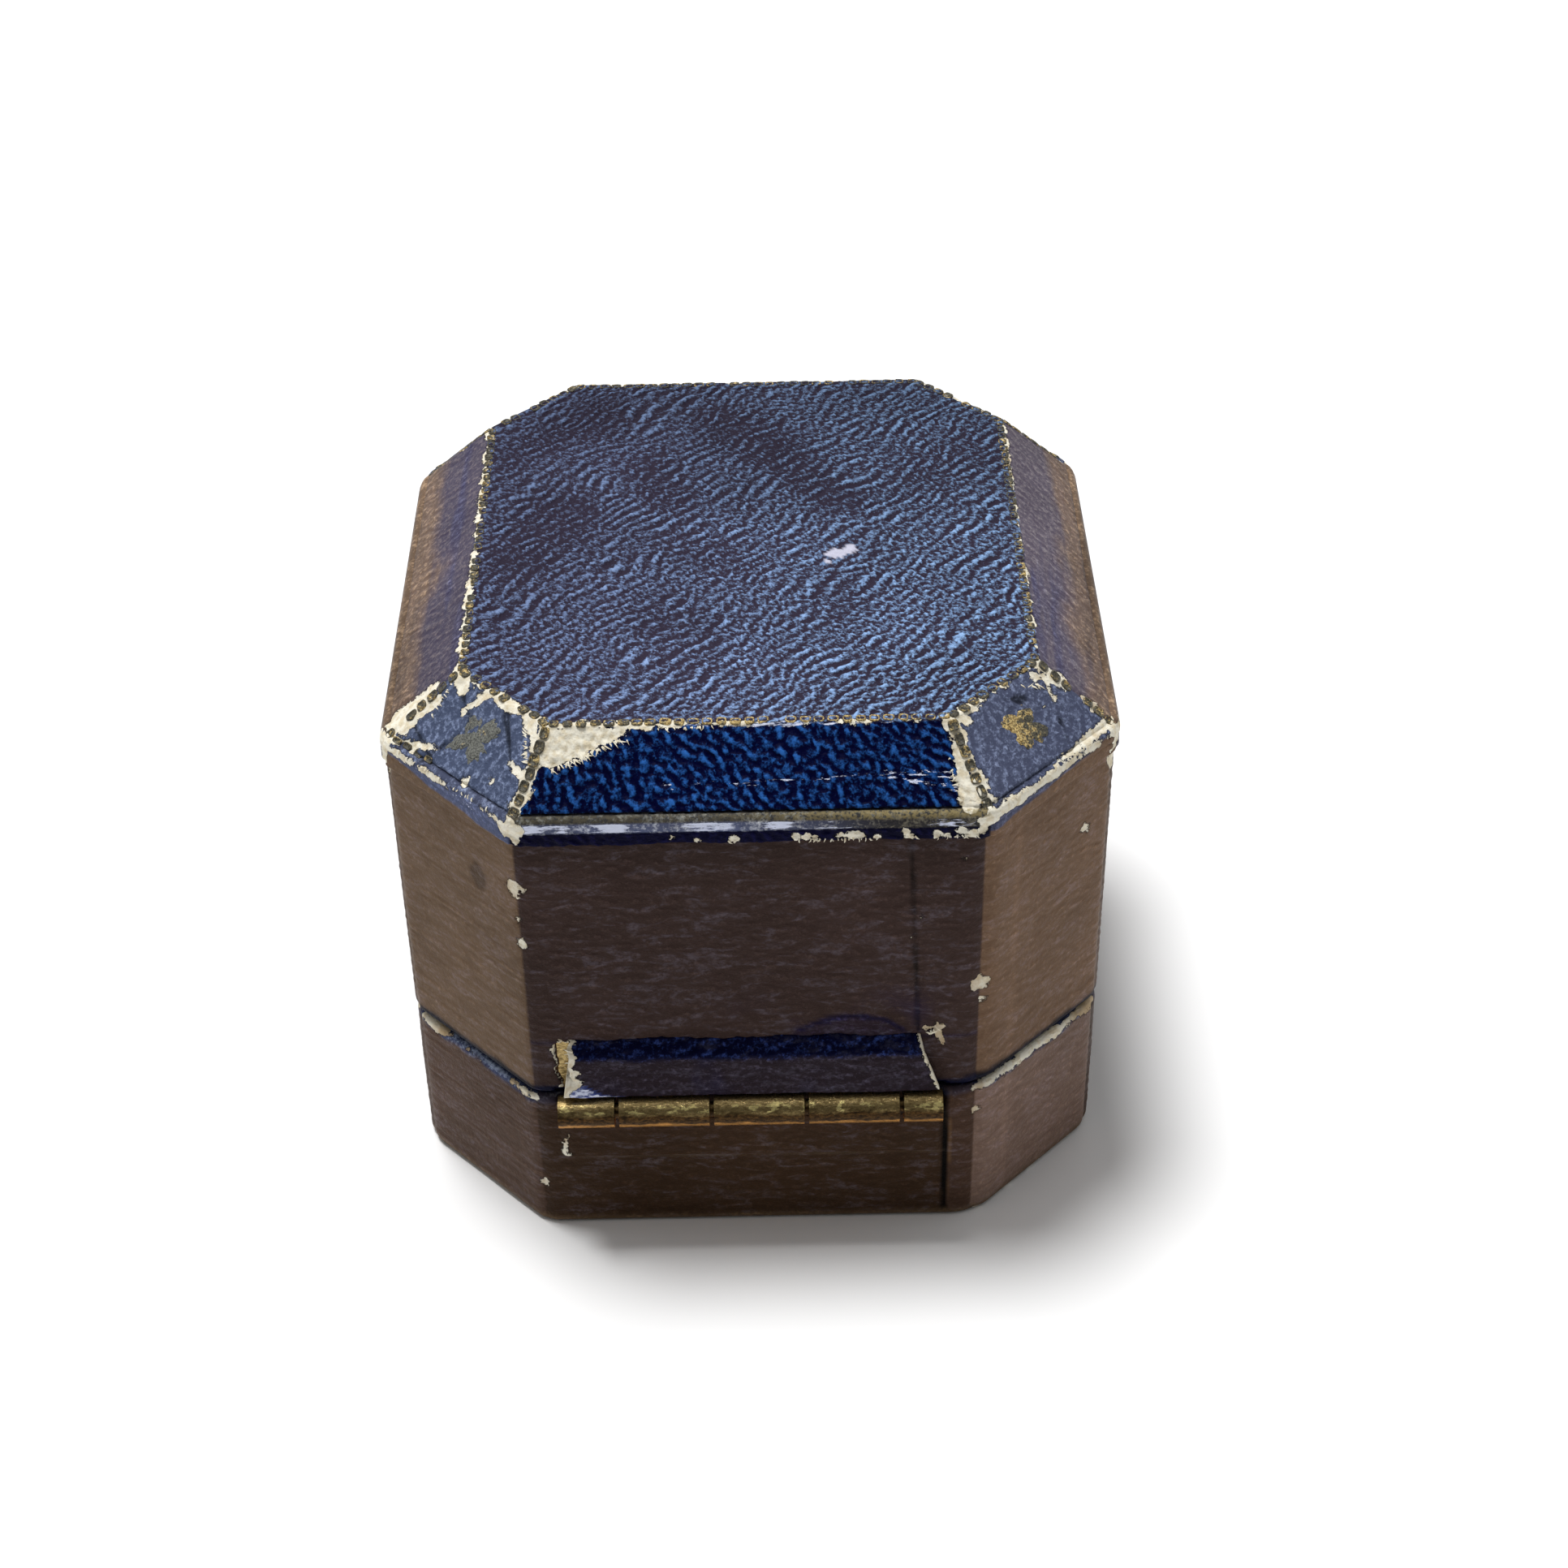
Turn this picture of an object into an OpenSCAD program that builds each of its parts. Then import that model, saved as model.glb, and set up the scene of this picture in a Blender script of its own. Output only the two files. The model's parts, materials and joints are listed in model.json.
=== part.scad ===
// Octagonal leather-covered ring box: a low base, a tall bevelled lid, a barrel hinge at the
// back and a push-button catch at the front. All sizes are in millimetres.
// The front is -Y, the hinge is at +Y and up is +Z. The origin is the centre of the underside.

/* [Outline] */
// Width over the leather sides
box_w = 44.8; // [42:0.1:56]
// Depth over the leather sides
box_d = 46.8; // [44:0.1:58]
// Length that each corner is cut back along both sides
corner_cut = 8.3; // [7:0.1:11]
// Height from the table to the top panel
total_h = 38.2; // [37:0.1:44]

/* [Lid top] */
// Width of the flat top panel
panel_w = 35.0; // [30:0.1:36]
// Depth of the flat top panel
panel_d = 39.6; // [32:0.1:40]
// Corner cut of the flat top panel
panel_cut = 5.6; // [4:0.1:7]
// Height of the bevels round the top panel
bevel_h = 4.4; // [3.5:0.1:5]
// Height of the leather skirt below the bevels
skirt_h = 1.6; // [1:0.1:3]
// How far the skirt stands out from the leather sides
skirt_proud = 0.25; // [0.1:0.05:0.4]

/* [Rims] */
// Height of the base rim above the table
base_rim_z = 11.5; // [11.3:0.1:12]
// Gap between the two rims when the lid is shut
rim_gap = 0.3; // [0.2:0.05:0.5]
// Size of the eased leather edge on each rim
rim_ease = 0.5; // [0.3:0.05:0.6]
// Size of the eased leather edge round the foot
foot_ease = 0.4; // [0.2:0.05:0.5]

/* [Shell] */
// Thickness of the leather covering
leather_t = 0.6; // [0.5:0.05:0.7]
// Thickness of the leather turned over a rim or under the base
turn_in_t = 0.5; // [0.4:0.05:0.5]
// Width of the leather turned under the base
turn_under_w = 3; // [2:0.1:4]
// Thickness of the sheet under the base
bottom_sheet_t = 0.4; // [0.3:0.05:0.5]
// Thickness of the base floor board
floor_t = 2.2; // [2:0.1:3]
// Thickness of the wooden base walls
base_wall_t = 3.4; // [3.3:0.1:3.6]
// Thickness of the wooden lid walls
lid_wall_t = 2.6; // [2.5:0.1:2.7]
// Width of the glue line in each mitred corner of the walls
glue_line = 0.06; // [0.04:0.01:0.1]

/* [Lining] */
// Thickness of the velvet-covered collar
collar_t = 0.9; // [0.8:0.05:1]
// Height of the collar above the base rim
collar_h = 3; // [2:0.1:3.5]
// Thickness of the lining on the lid walls
lining_t = 0.4; // [0.3:0.05:0.45]
// Thickness of the two lining boards
board_t = 0.8; // [0.6:0.1:1]
// Highest point of the ring pads above the base rim
pad_rise = 1.7; // [1:0.1:2.5]
// Width of the slot between the ring pads
ring_slot_w = 2.4; // [1.5:0.1:3]
// Thickness of the satin pad in the lid
satin_t = 3.2; // [2:0.1:4]

/* [Hinge] */
// Radius of the hinge barrel
barrel_r = 1.05; // [1:0.05:1.1]
// How far the hinge pin's axis lies behind the leather sides
pin_out = 0.8; // [0.7:0.05:0.9]
// How far the hinge pin's axis lies below the base rim
pin_drop = 0.5; // [0.3:0.05:0.7]
// Radius of the hinge pin
pin_r = 0.5; // [0.4:0.05:0.6]
// Radial clearance of the pin in the lid knuckles
pin_clearance = 0.04; // [0.02:0.01:0.08]
// Left end of the hinge
hinge_x0 = -11.7; // [-13:0.1:-11]
// Right end of the hinge
hinge_x1 = 12.6; // [11:0.1:13]
// Distance from one knuckle joint to the next
knuckle_pitch = 6; // [5.8:0.1:6.2]
// Gap in each knuckle joint
knuckle_gap = 0.3; // [0.2:0.05:0.4]
// Thickness of the hinge leaves
leaf_t = 0.4; // [0.3:0.05:0.5]
// Height of the base leaf below the barrel
base_leaf_h = 3.25; // [2.8:0.05:3.5]
// Height of the lid leaf above the barrel
lid_leaf_h = 4; // [3.5:0.1:4.5]
// How far the hinge flap stands out from the lid leather
flap_proud = 0.9; // [0.6:0.1:1.2]

/* [Catch] */
// Height of the push button's axis
button_z = 7.2; // [7:0.1:7.5]
// Radius of the push button's head
button_r = 1.7; // [1.4:0.1:1.9]
// Travel of the push button
button_travel = 0.5; // [0.4:0.05:0.5]
// Width of the catch strip
catch_w = 5; // [4:0.1:5]
// Height of the catch's pivot
catch_pivot_z = 3.6; // [3.55:0.05:3.7]

/* [Hidden] */
$fn = 48;
slack = 1;
block = 80;
x_axis = [0, 90, 0];
y_axis = [-90, 0, 0];

// Heights of the layers, from the table up
floor_z0 = bottom_sheet_t;
floor_z1 = floor_z0 + floor_t;
base_wall_z1 = base_rim_z - turn_in_t;
lid_rim_z = base_rim_z + rim_gap;
lid_wall_z0 = lid_rim_z + turn_in_t;
bevel_z = total_h - bevel_h;
lid_wall_z1 = bevel_z - 0.2;
board_top_z = total_h - leather_t;
collar_z1 = base_rim_z + collar_h;
insert_z1 = floor_z1 + board_t;
lid_board_z0 = lid_wall_z1 - board_t;
satin_z0 = lid_board_z0 - satin_t;

// Depths of the layers, inwards from the leather sides
base_inner = leather_t + base_wall_t;
collar_inner = base_inner + collar_t;
lid_inner = leather_t + lid_wall_t;
lining_inner = lid_inner + lining_t;
pad_gap = 0.3;

// Hinge
wood_y = box_d / 2 - leather_t;
pin_y = box_d / 2 + pin_out;
pin_z = base_rim_z - pin_drop;
knuckle_clear = 0.15;
hinge_mid = -0.1;
knuckle_joints = [for (k = [-1.5 : 1 : 1.5]) hinge_mid + k * knuckle_pitch];
leaf_end_gap = 0.1;
base_plate_z1 = pin_z - barrel_r - knuckle_clear;
base_leaf_z0 = base_plate_z1 - base_leaf_h;
lid_plate_z0 = pin_z + barrel_r + knuckle_clear;
lid_leaf_z1 = lid_plate_z0 + lid_leaf_h;
flap_z1 = lid_leaf_z1 + 0.2;
flap_slope_h = 0.6;
tongue_t = 0.75;
base_relief = leaf_t;
tack_r = 0.35;
tack_l = 2.2;
tack_count = 3;
base_tack_z = (base_leaf_z0 + base_plate_z1) / 2;
lid_tack_z = (lid_plate_z0 + lid_leaf_z1) / 2;
hole_slack = 0.01;

// Catch
catch_t = 0.4;
catch_y = -box_d / 2 + 1.9;
catch_eye_r = 0.9;
catch_bore_r = 0.5;
catch_pin_r = 0.45;
catch_pin_l = 8;
catch_pivot_y = catch_y + 0.5;
hook_z0 = lid_wall_z0 + 0.1;
hook_z1 = hook_z0 + 0.9;
hook_reach = 0.55;
pocket_w = catch_w + 0.9;
base_pocket_y = -box_d / 2 + 1.2;
lid_pocket_y = -box_d / 2 + 1;
lid_pocket_z1 = hook_z1 + 1.3;
keeper_w = 10.8;
keeper_lip = 0.75;
keeper_pin_r = 0.35;
keeper_pin_x = 4.2;
keeper_pin_l = 2.6;
stem_r = 0.8;
stem_gap = 0.05;
stem_dome_r = 1.2;
bezel_r = 2.3;
bezel_tube_r = 1.3;
bezel_t = 0.3;
button_t = pin_y + barrel_r - box_d / 2 - bezel_t - button_travel - 0.1;

// An octagon whose four corners are cut at 45 degrees
function octagon(w, d, cut) = [
  [w / 2, cut - d / 2], [w / 2, d / 2 - cut], [w / 2 - cut, d / 2], [cut - w / 2, d / 2],
  [-w / 2, d / 2 - cut], [-w / 2, cut - d / 2], [cut - w / 2, -d / 2], [w / 2 - cut, -d / 2]
];

// The octagon that lies t inside the leather sides all the way round
function inset(t) = octagon(box_w - 2 * t, box_d - 2 * t, corner_cut - t * (2 - sqrt(2)));

// Distance from the middle to the octagon's side that faces the direction a
function reach(w, d, cut, a) =
  a % 180 == 0 ? w / 2 : a % 180 == 90 ? d / 2 : (w + d - 2 * cut) / sqrt(8);
function side_reach(a) = reach(box_w, box_d, corner_cut, a);
function panel_reach(a) = reach(panel_w, panel_d, panel_cut, a);

module slab(t, z0, z1) {
  translate([0, 0, z0]) linear_extrude(z1 - z0) polygon(inset(t));
}

module band(t_out, t_in, z0, z1) {
  difference() {
    slab(t_out, z0, z1);
    slab(t_in, z0 - slack, z1 + slack);
  }
}

// Everything above a plane that starts at radius r and height 0 and climbs inwards
module above_slope(a, r, run, rise) {
  rotate([0, 0, a]) translate([r, 0, 0]) rotate([0, atan2(rise, run), 0])
    translate([-block / 2, -block / 2, 0]) cube(block);
}

// Eases the outer edges of a slab whose top is at z
module eased_top(t, z, ease) {
  for (a = [0 : 45 : 315])
    translate([0, 0, z - ease]) above_slope(a, side_reach(a) - t, ease, ease);
}

// Eases the outer edges of a slab whose underside is at z
module eased_bottom(t, z, ease) {
  for (a = [0 : 45 : 315])
    translate([0, 0, z + ease]) mirror([0, 0, 1]) above_slope(a, side_reach(a) - t, ease, ease);
}

// A slab with a bevel on every side, from edge_z up to the flat panel at z1
module bevelled_slab(t, z0, edge_z, z1, panel_in) {
  difference() {
    slab(t, z0, z1);
    for (a = [0 : 45 : 315])
      translate([0, 0, edge_z])
        above_slope(a, side_reach(a) - t, side_reach(a) - t - panel_reach(a) + panel_in, z1 - edge_z);
  }
}

// Eight mitred wall staves with a glue line between neighbours
module staves(t_out, t_in, z0, z1) {
  outer = inset(t_out);
  inner = inset(t_in);
  difference() {
    band(t_out, t_in, z0, z1);
    for (i = [0 : 7])
      translate([outer[i][0], outer[i][1], z0 - slack])
        rotate([0, 0, atan2(inner[i][1] - outer[i][1], inner[i][0] - outer[i][0])])
          translate([-slack, -glue_line / 2, 0])
            cube([t_out + t_in + 2 * slack, glue_line, z1 - z0 + 2 * slack]);
  }
}

// A cylinder along X between two ends
module rod_x(r, x0, x1, y, z) {
  translate([x0, y, z]) rotate(x_axis) cylinder(r = r, h = x1 - x0);
}

// A cylinder along Y between two ends
module rod_y(r, y0, y1, x, z) {
  translate([x, y0, z]) rotate(y_axis) cylinder(r = r, h = y1 - y0);
}

// The box from x0 to x1, y0 to y1 and z0 to z1
module brick(x0, x1, y0, y1, z0, z1) {
  translate([x0, y0, z0]) cube([x1 - x0, y1 - y0, z1 - z0]);
}

// Places of the tacks along the hinge
function tack_x(i) = hinge_x0 + (hinge_x1 - hinge_x0) * (i + 0.5) / tack_count;

module tack_rods(r, z, from_y) {
  for (i = [0 : tack_count - 1])
    rod_y(r, from_y, wood_y + leaf_t, tack_x(i), z);
}

// Ends of knuckle k, counted from the left end of the hinge
function knuckle_start(k) = k == 0 ? hinge_x0 : knuckle_joints[k - 1] + knuckle_gap / 2;
function knuckle_end(k) = k == 4 ? hinge_x1 : knuckle_joints[k] - knuckle_gap / 2;

// The chosen knuckles of a leaf, each with the tongue that joins it to the leaf
module knuckles(first, bore_r, tongue_z) {
  difference() {
    for (k = [first : 2 : 4]) {
      rod_x(barrel_r, knuckle_start(k), knuckle_end(k), pin_y, pin_z);
      brick(knuckle_start(k), knuckle_end(k), wood_y, wood_y + tongue_t,
            min(pin_z, tongue_z), max(pin_z, tongue_z));
    }
    rod_x(bore_r, hinge_x0 - slack, hinge_x1 + slack, pin_y, pin_z);
  }
}

// Base

module base_bottom_sheet() {
  color("#5b4a3c") slab(turn_under_w, 0, bottom_sheet_t);
}

module base_floor_board() {
  color("#b58a56") slab(leather_t, floor_z0, floor_z1);
}

module base_wall_staves() {
  color("#b58a56") difference() {
    staves(leather_t, base_inner, floor_z1, base_wall_z1);
    brick(-pocket_w / 2, pocket_w / 2, base_pocket_y, 0, floor_z1 - slack, base_wall_z1 + slack);
    rod_x(catch_pin_r, -catch_pin_l / 2, catch_pin_l / 2, catch_pivot_y, catch_pivot_z);
    rod_y(bezel_tube_r, -box_d / 2, base_pocket_y + slack, 0, button_z);
    tack_rods(tack_r + hole_slack, base_tack_z, wood_y + leaf_t - tack_l);
  }
}

module base_side_leather() {
  color("#3f302b") difference() {
    union() {
      difference() {
        slab(0, 0.05, base_rim_z);
        slab(leather_t, floor_z0, base_wall_z1);
        slab(turn_under_w, -slack, floor_z0 + slack);
        slab(base_inner, base_wall_z1 - slack, base_rim_z + slack);
        eased_top(0, base_rim_z, rim_ease);
        eased_bottom(0, 0.05, foot_ease);
      }
      brick(hinge_x0, hinge_x1, wood_y, box_d / 2 + base_relief,
            base_leaf_z0 - 0.2, base_plate_z1);
    }
    brick(hinge_x0 + leaf_end_gap, hinge_x1 - leaf_end_gap, wood_y - slack, wood_y + leaf_t,
          base_leaf_z0, base_rim_z + slack);
    brick(hinge_x0 - leaf_end_gap, hinge_x1 + leaf_end_gap, wood_y, block,
          base_plate_z1, base_rim_z + slack);
    brick(-pocket_w / 2, pocket_w / 2, base_pocket_y, 0, base_wall_z1 - slack, base_rim_z + slack);
    rod_y(bezel_tube_r, -box_d / 2 - slack, base_pocket_y, 0, button_z);
  }
}

module base_collar() {
  color("#2c2a55") difference() {
    band(base_inner, collar_inner, floor_z1, collar_z1);
    eased_top(base_inner, collar_z1, 0.3);
  }
}

module pad_insert_board() {
  color("#8a7a66") slab(collar_inner, floor_z1, insert_z1);
}

// The half of the padded bed in front of the slot, crowned on all its sides
module ring_pad_half() {
  top_z = base_rim_z + pad_rise;
  crown = 1.5;
  difference() {
    slab(collar_inner + pad_gap, insert_z1, top_z);
    eased_top(collar_inner + pad_gap, top_z, crown);
    brick(-block, block, -ring_slot_w / 2, block, 0, block);
    translate([0, 0, top_z - crown]) above_slope(90, -ring_slot_w / 2, crown, crown);
  }
}

module ring_pad_front() {
  color("#2c2a55") ring_pad_half();
}

module ring_pad_rear() {
  color("#2c2a55") mirror([0, 1, 0]) ring_pad_half();
}

module hinge_leaf_base() {
  color("#9c7b3a") difference() {
    union() {
      brick(hinge_x0 + leaf_end_gap, hinge_x1 - leaf_end_gap, wood_y, wood_y + leaf_t,
            base_leaf_z0, base_plate_z1);
      knuckles(0, pin_r, base_plate_z1);
    }
    tack_rods(tack_r + hole_slack, base_tack_z, wood_y - slack);
  }
}

module hinge_pin() {
  color("#b08d4a") rod_x(pin_r, hinge_x0, hinge_x1, pin_y, pin_z);
}

module hinge_tacks_base() {
  color("#b08d4a") tack_rods(tack_r, base_tack_z, wood_y + leaf_t - tack_l);
}

// Catch

module button_bezel() {
  color("#b08d4a") difference() {
    union() {
      rod_y(bezel_r, -box_d / 2 - bezel_t, -box_d / 2, 0, button_z);
      rod_y(bezel_tube_r, -box_d / 2, base_pocket_y, 0, button_z);
    }
    rod_y(stem_r + pin_clearance, -box_d / 2 - slack, base_pocket_y + slack, 0, button_z);
  }
}

// Turned about the button's axis: a domed head, a straight stem and a domed tip
module push_button() {
  head_y = -box_d / 2 - bezel_t - button_travel - 0.1;
  stem_l = catch_y - stem_gap - head_y;
  dome_h = button_t / 2;
  dome_r = (button_r * button_r + dome_h * dome_h) / (2 * dome_h);
  tip_h = stem_dome_r - sqrt(stem_dome_r * stem_dome_r - stem_r * stem_r);
  color("#b08d4a") translate([0, head_y, button_z]) rotate(y_axis) union() {
    translate([0, 0, -button_t + dome_h]) cylinder(r = button_r, h = button_t - dome_h);
    intersection() {
      translate([0, 0, dome_r - button_t]) sphere(r = dome_r);
      translate([0, 0, -button_t]) cylinder(r = button_r, h = dome_h);
    }
    cylinder(r = stem_r, h = stem_l - tip_h);
    intersection() {
      translate([0, 0, stem_l - stem_dome_r]) sphere(r = stem_dome_r);
      translate([0, 0, stem_l - tip_h]) cylinder(r = stem_r, h = tip_h + slack);
    }
  }
}

// A brass strip with an eye at its foot and a hook that faces outwards at its top
module catch_spring() {
  strip_back = catch_y + catch_t;
  color("#b5975a") difference() {
    union() {
      brick(-catch_w / 2, catch_w / 2, catch_y, strip_back, catch_pivot_z, hook_z1);
      rod_x(catch_eye_r, -catch_w / 2, catch_w / 2, catch_pivot_y, catch_pivot_z);
      translate([-catch_w / 2, 0, 0]) rotate([90, 0, 90]) linear_extrude(catch_w)
        polygon([
          [catch_y, hook_z1], [catch_y - hook_reach, hook_z0 + 0.2],
          [catch_y - hook_reach, hook_z0], [catch_y, hook_z0]
        ]);
    }
    rod_x(catch_bore_r, -catch_w / 2 - slack, catch_w / 2 + slack, catch_pivot_y, catch_pivot_z);
  }
}

module catch_pivot_pin() {
  color("#8f8f8a") rod_x(catch_pin_r, -catch_pin_l / 2, catch_pin_l / 2, catch_pivot_y, catch_pivot_z);
}

// Lid

module lid_wall_staves() {
  color("#b58a56") difference() {
    staves(leather_t, lid_inner, lid_wall_z0, lid_wall_z1);
    brick(-pocket_w / 2, pocket_w / 2, lid_pocket_y, 0, lid_wall_z0 - slack, lid_pocket_z1);
    keeper_pin_rods(keeper_pin_r + hole_slack);
    tack_rods(tack_r + hole_slack, lid_tack_z, wood_y + leaf_t - tack_l);
  }
}

module lid_top_board() {
  color("#b58a56") bevelled_slab(leather_t, lid_wall_z1, lid_wall_z1, board_top_z, 0.2);
}

module lid_top_leather() {
  color("#2d3f66") difference() {
    bevelled_slab(-skirt_proud, bevel_z - skirt_h, bevel_z, total_h, 0);
    slab(0, bevel_z - skirt_h - slack, lid_wall_z1);
    bevelled_slab(leather_t, lid_wall_z1 - slack, lid_wall_z1, board_top_z, 0.2);
  }
}

module lid_side_leather() {
  color("#3f302b") difference() {
    slab(0, lid_rim_z, lid_wall_z1);
    slab(leather_t, lid_wall_z0, lid_wall_z1 + slack);
    slab(lid_inner, lid_rim_z - slack, lid_wall_z0 + slack);
    eased_bottom(0, lid_rim_z, rim_ease);
    brick(hinge_x0 - leaf_end_gap, hinge_x1 + leaf_end_gap, wood_y, block,
          lid_rim_z - slack, flap_z1);
    brick(-keeper_w / 2, keeper_w / 2, lid_pocket_y, 0, lid_rim_z - slack, lid_wall_z0 + slack);
  }
}

// Leather drawn over the lid leaf, with a sloping upper edge
module lid_hinge_flap() {
  flap_y = box_d / 2 + flap_proud;
  color("#332a33") translate([hinge_x0, 0, 0]) rotate([90, 0, 90]) linear_extrude(hinge_x1 - hinge_x0)
    polygon([
      [wood_y + leaf_t, lid_plate_z0], [flap_y, lid_plate_z0], [flap_y, flap_z1 - flap_slope_h],
      [box_d / 2, flap_z1], [wood_y + leaf_t, flap_z1]
    ]);
}

module lid_wall_lining() {
  color("#cfc3ae") difference() {
    band(lid_inner, lining_inner, lid_wall_z0, lid_board_z0);
    brick(-pocket_w / 2, pocket_w / 2, -block, 0, lid_wall_z0 - slack, lid_pocket_z1);
  }
}

module lid_pad_board() {
  color("#8a7a66") slab(lid_inner, lid_board_z0, lid_wall_z1);
}

module lid_satin_pad() {
  color("#d8ccb6") difference() {
    slab(lining_inner + pad_gap, satin_z0, lid_board_z0);
    eased_bottom(lining_inner + pad_gap, satin_z0, satin_t - 0.8);
  }
}

module hinge_leaf_lid() {
  color("#9c7b3a") difference() {
    union() {
      brick(hinge_x0 + leaf_end_gap, hinge_x1 - leaf_end_gap, wood_y, wood_y + leaf_t,
            lid_plate_z0, lid_leaf_z1);
      knuckles(1, pin_r + pin_clearance, lid_plate_z0);
    }
    tack_rods(tack_r + hole_slack, lid_tack_z, wood_y - slack);
  }
}

module hinge_tacks_lid() {
  color("#b08d4a") tack_rods(tack_r, lid_tack_z, wood_y + leaf_t - tack_l);
}

// A brass plate let into the lid rim, open at the back where the catch swings
module keeper_plate() {
  color("#b5975a") difference() {
    brick(-keeper_w / 2, keeper_w / 2, lid_pocket_y, -box_d / 2 + lid_inner, lid_rim_z, lid_wall_z0);
    brick(-pocket_w / 2, pocket_w / 2, lid_pocket_y + keeper_lip, 0, 0, block);
    keeper_pin_rods(keeper_pin_r + hole_slack);
  }
}

module keeper_pin_rods(r) {
  for (x = [-keeper_pin_x, keeper_pin_x])
    translate([x, lid_pocket_y + 1.1, lid_rim_z]) cylinder(r = r, h = keeper_pin_l);
}

module keeper_pins() {
  color("#b08d4a") keeper_pin_rods(keeper_pin_r);
}

base_bottom_sheet();
base_floor_board();
base_wall_staves();
base_side_leather();
base_collar();
pad_insert_board();
ring_pad_front();
ring_pad_rear();
hinge_leaf_base();
hinge_pin();
hinge_tacks_base();
button_bezel();
push_button();
catch_spring();
catch_pivot_pin();
lid_wall_staves();
lid_top_board();
lid_top_leather();
lid_side_leather();
lid_hinge_flap();
lid_wall_lining();
lid_pad_board();
lid_satin_pad();
hinge_leaf_lid();
hinge_tacks_lid();
keeper_plate();
keeper_pins();
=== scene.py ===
import json
import math

import bpy
import numpy as np
from mathutils import Matrix, Vector


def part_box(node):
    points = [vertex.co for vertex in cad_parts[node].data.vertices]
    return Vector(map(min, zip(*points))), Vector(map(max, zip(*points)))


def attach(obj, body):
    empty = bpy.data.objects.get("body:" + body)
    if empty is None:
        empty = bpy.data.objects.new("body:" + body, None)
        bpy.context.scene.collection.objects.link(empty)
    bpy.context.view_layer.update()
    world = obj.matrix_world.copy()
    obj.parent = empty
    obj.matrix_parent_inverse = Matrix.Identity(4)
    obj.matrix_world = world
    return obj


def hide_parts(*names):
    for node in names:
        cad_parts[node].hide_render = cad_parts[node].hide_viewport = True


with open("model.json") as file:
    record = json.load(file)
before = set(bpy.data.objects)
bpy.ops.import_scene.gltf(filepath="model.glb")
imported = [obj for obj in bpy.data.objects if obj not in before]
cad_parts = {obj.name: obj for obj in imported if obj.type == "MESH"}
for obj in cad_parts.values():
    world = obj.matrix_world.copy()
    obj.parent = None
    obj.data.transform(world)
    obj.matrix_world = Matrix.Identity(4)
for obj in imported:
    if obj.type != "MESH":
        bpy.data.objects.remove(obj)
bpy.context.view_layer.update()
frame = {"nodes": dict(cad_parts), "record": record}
MM = 0.001


# ---------------------------------------------------------------- camera

CAMERA_PLACE = Vector((-1.18, 152.7, 137.4)) * MM
CAMERA_TURNS = (0.35, 38.0, -0.84)
LENS, SENSOR_WIDTH = 64.9, 36
NEAREST, FARTHEST = 0.01, 20


def make_camera():
    """The camera stands behind and above the box, looking down at the hinge side."""
    yaw, pitch, roll = (math.radians(turn) for turn in CAMERA_TURNS)
    flat = math.cos(pitch)
    forward = Vector((-math.sin(yaw) * flat, -math.cos(yaw) * flat, -math.sin(pitch)))
    level = Vector((-math.cos(yaw), math.sin(yaw), 0))
    plumb = forward.cross(level)
    right = level * math.cos(roll) - plumb * math.sin(roll)
    down = level * math.sin(roll) + plumb * math.cos(roll)
    data = bpy.data.cameras.new("camera")
    data.lens, data.sensor_width = LENS, SENSOR_WIDTH
    data.clip_start, data.clip_end = NEAREST, FARTHEST
    camera = bpy.data.objects.new("camera", data)
    axes = Matrix((right, -down, -forward)).transposed().to_4x4()
    camera.matrix_world = Matrix.Translation(CAMERA_PLACE) @ axes
    bpy.context.scene.collection.objects.link(camera)
    bpy.context.scene.camera = camera


make_camera()


# ---------------------------------------------------------------- measures taken from the frame, in mm

def corners_mm(node):
    return [np.array(c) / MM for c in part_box(node)]


def points_mm(node):
    mesh = frame["nodes"][node].data
    co = np.zeros(len(mesh.vertices) * 3)
    mesh.vertices.foreach_get("co", co)
    return co.reshape(-1, 3) / MM


def outline(node, z):
    """Half width, half depth and corner cut of a node's octagon at height z."""
    level = points_mm(node)
    level = level[abs(level[:, 2] - z) < 0.02]
    half_w, half_d = abs(level[:, 0]).max(), abs(level[:, 1]).max()
    return np.array([half_w, half_d, half_d - abs(level[level[:, 0] > half_w - 0.01, 1]).max()])


def loop_lines(corners, z):
    """The eight edges of an octagon of corners at height z."""
    ends = [np.append(corner, z) for corner in corners]
    return list(zip(ends, ends[1:] + ends[:1]))


def drop_lines(high, z1, low, z0):
    """The eight lines from the corners of one octagon to those of another."""
    return [(np.append(a, z1), np.append(b, z0)) for a, b in zip(high, low)]


def inset(outer, t):
    return outer - np.array([t, t, t * (2 - math.sqrt(2))])


SIDE_LO, SIDE_HI = corners_mm("lid_side_leather")
TOP_LO, TOP_HI = corners_mm("lid_top_leather")
BASE_LO, BASE_HI = corners_mm("base_side_leather")
FLAP_LO, FLAP_HI = corners_mm("lid_hinge_flap")
PIN_LO, PIN_HI = corners_mm("hinge_pin")
SIDES = outline("lid_side_leather", SIDE_HI[2])
PANEL = outline("lid_top_leather", TOP_HI[2])
TOP_Z, SKIRT_Z0 = TOP_HI[2], TOP_LO[2]
TOP_POINTS = points_mm("lid_top_leather")
BEVEL_Z = TOP_POINTS[TOP_POINTS[:, 0] > TOP_HI[0] - 0.01, 2].max()
SKIRT = outline("lid_top_leather", BEVEL_Z)
PIN_Z = (PIN_LO[2] + PIN_HI[2]) / 2
REAR_Y = SIDES[1]

# The sides of the octagon are counted from +X towards +Y: even ones are long, odd ones are corners
RIGHT, REAR, LEFT, FRONT = 0, 2, 4, 6


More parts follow.
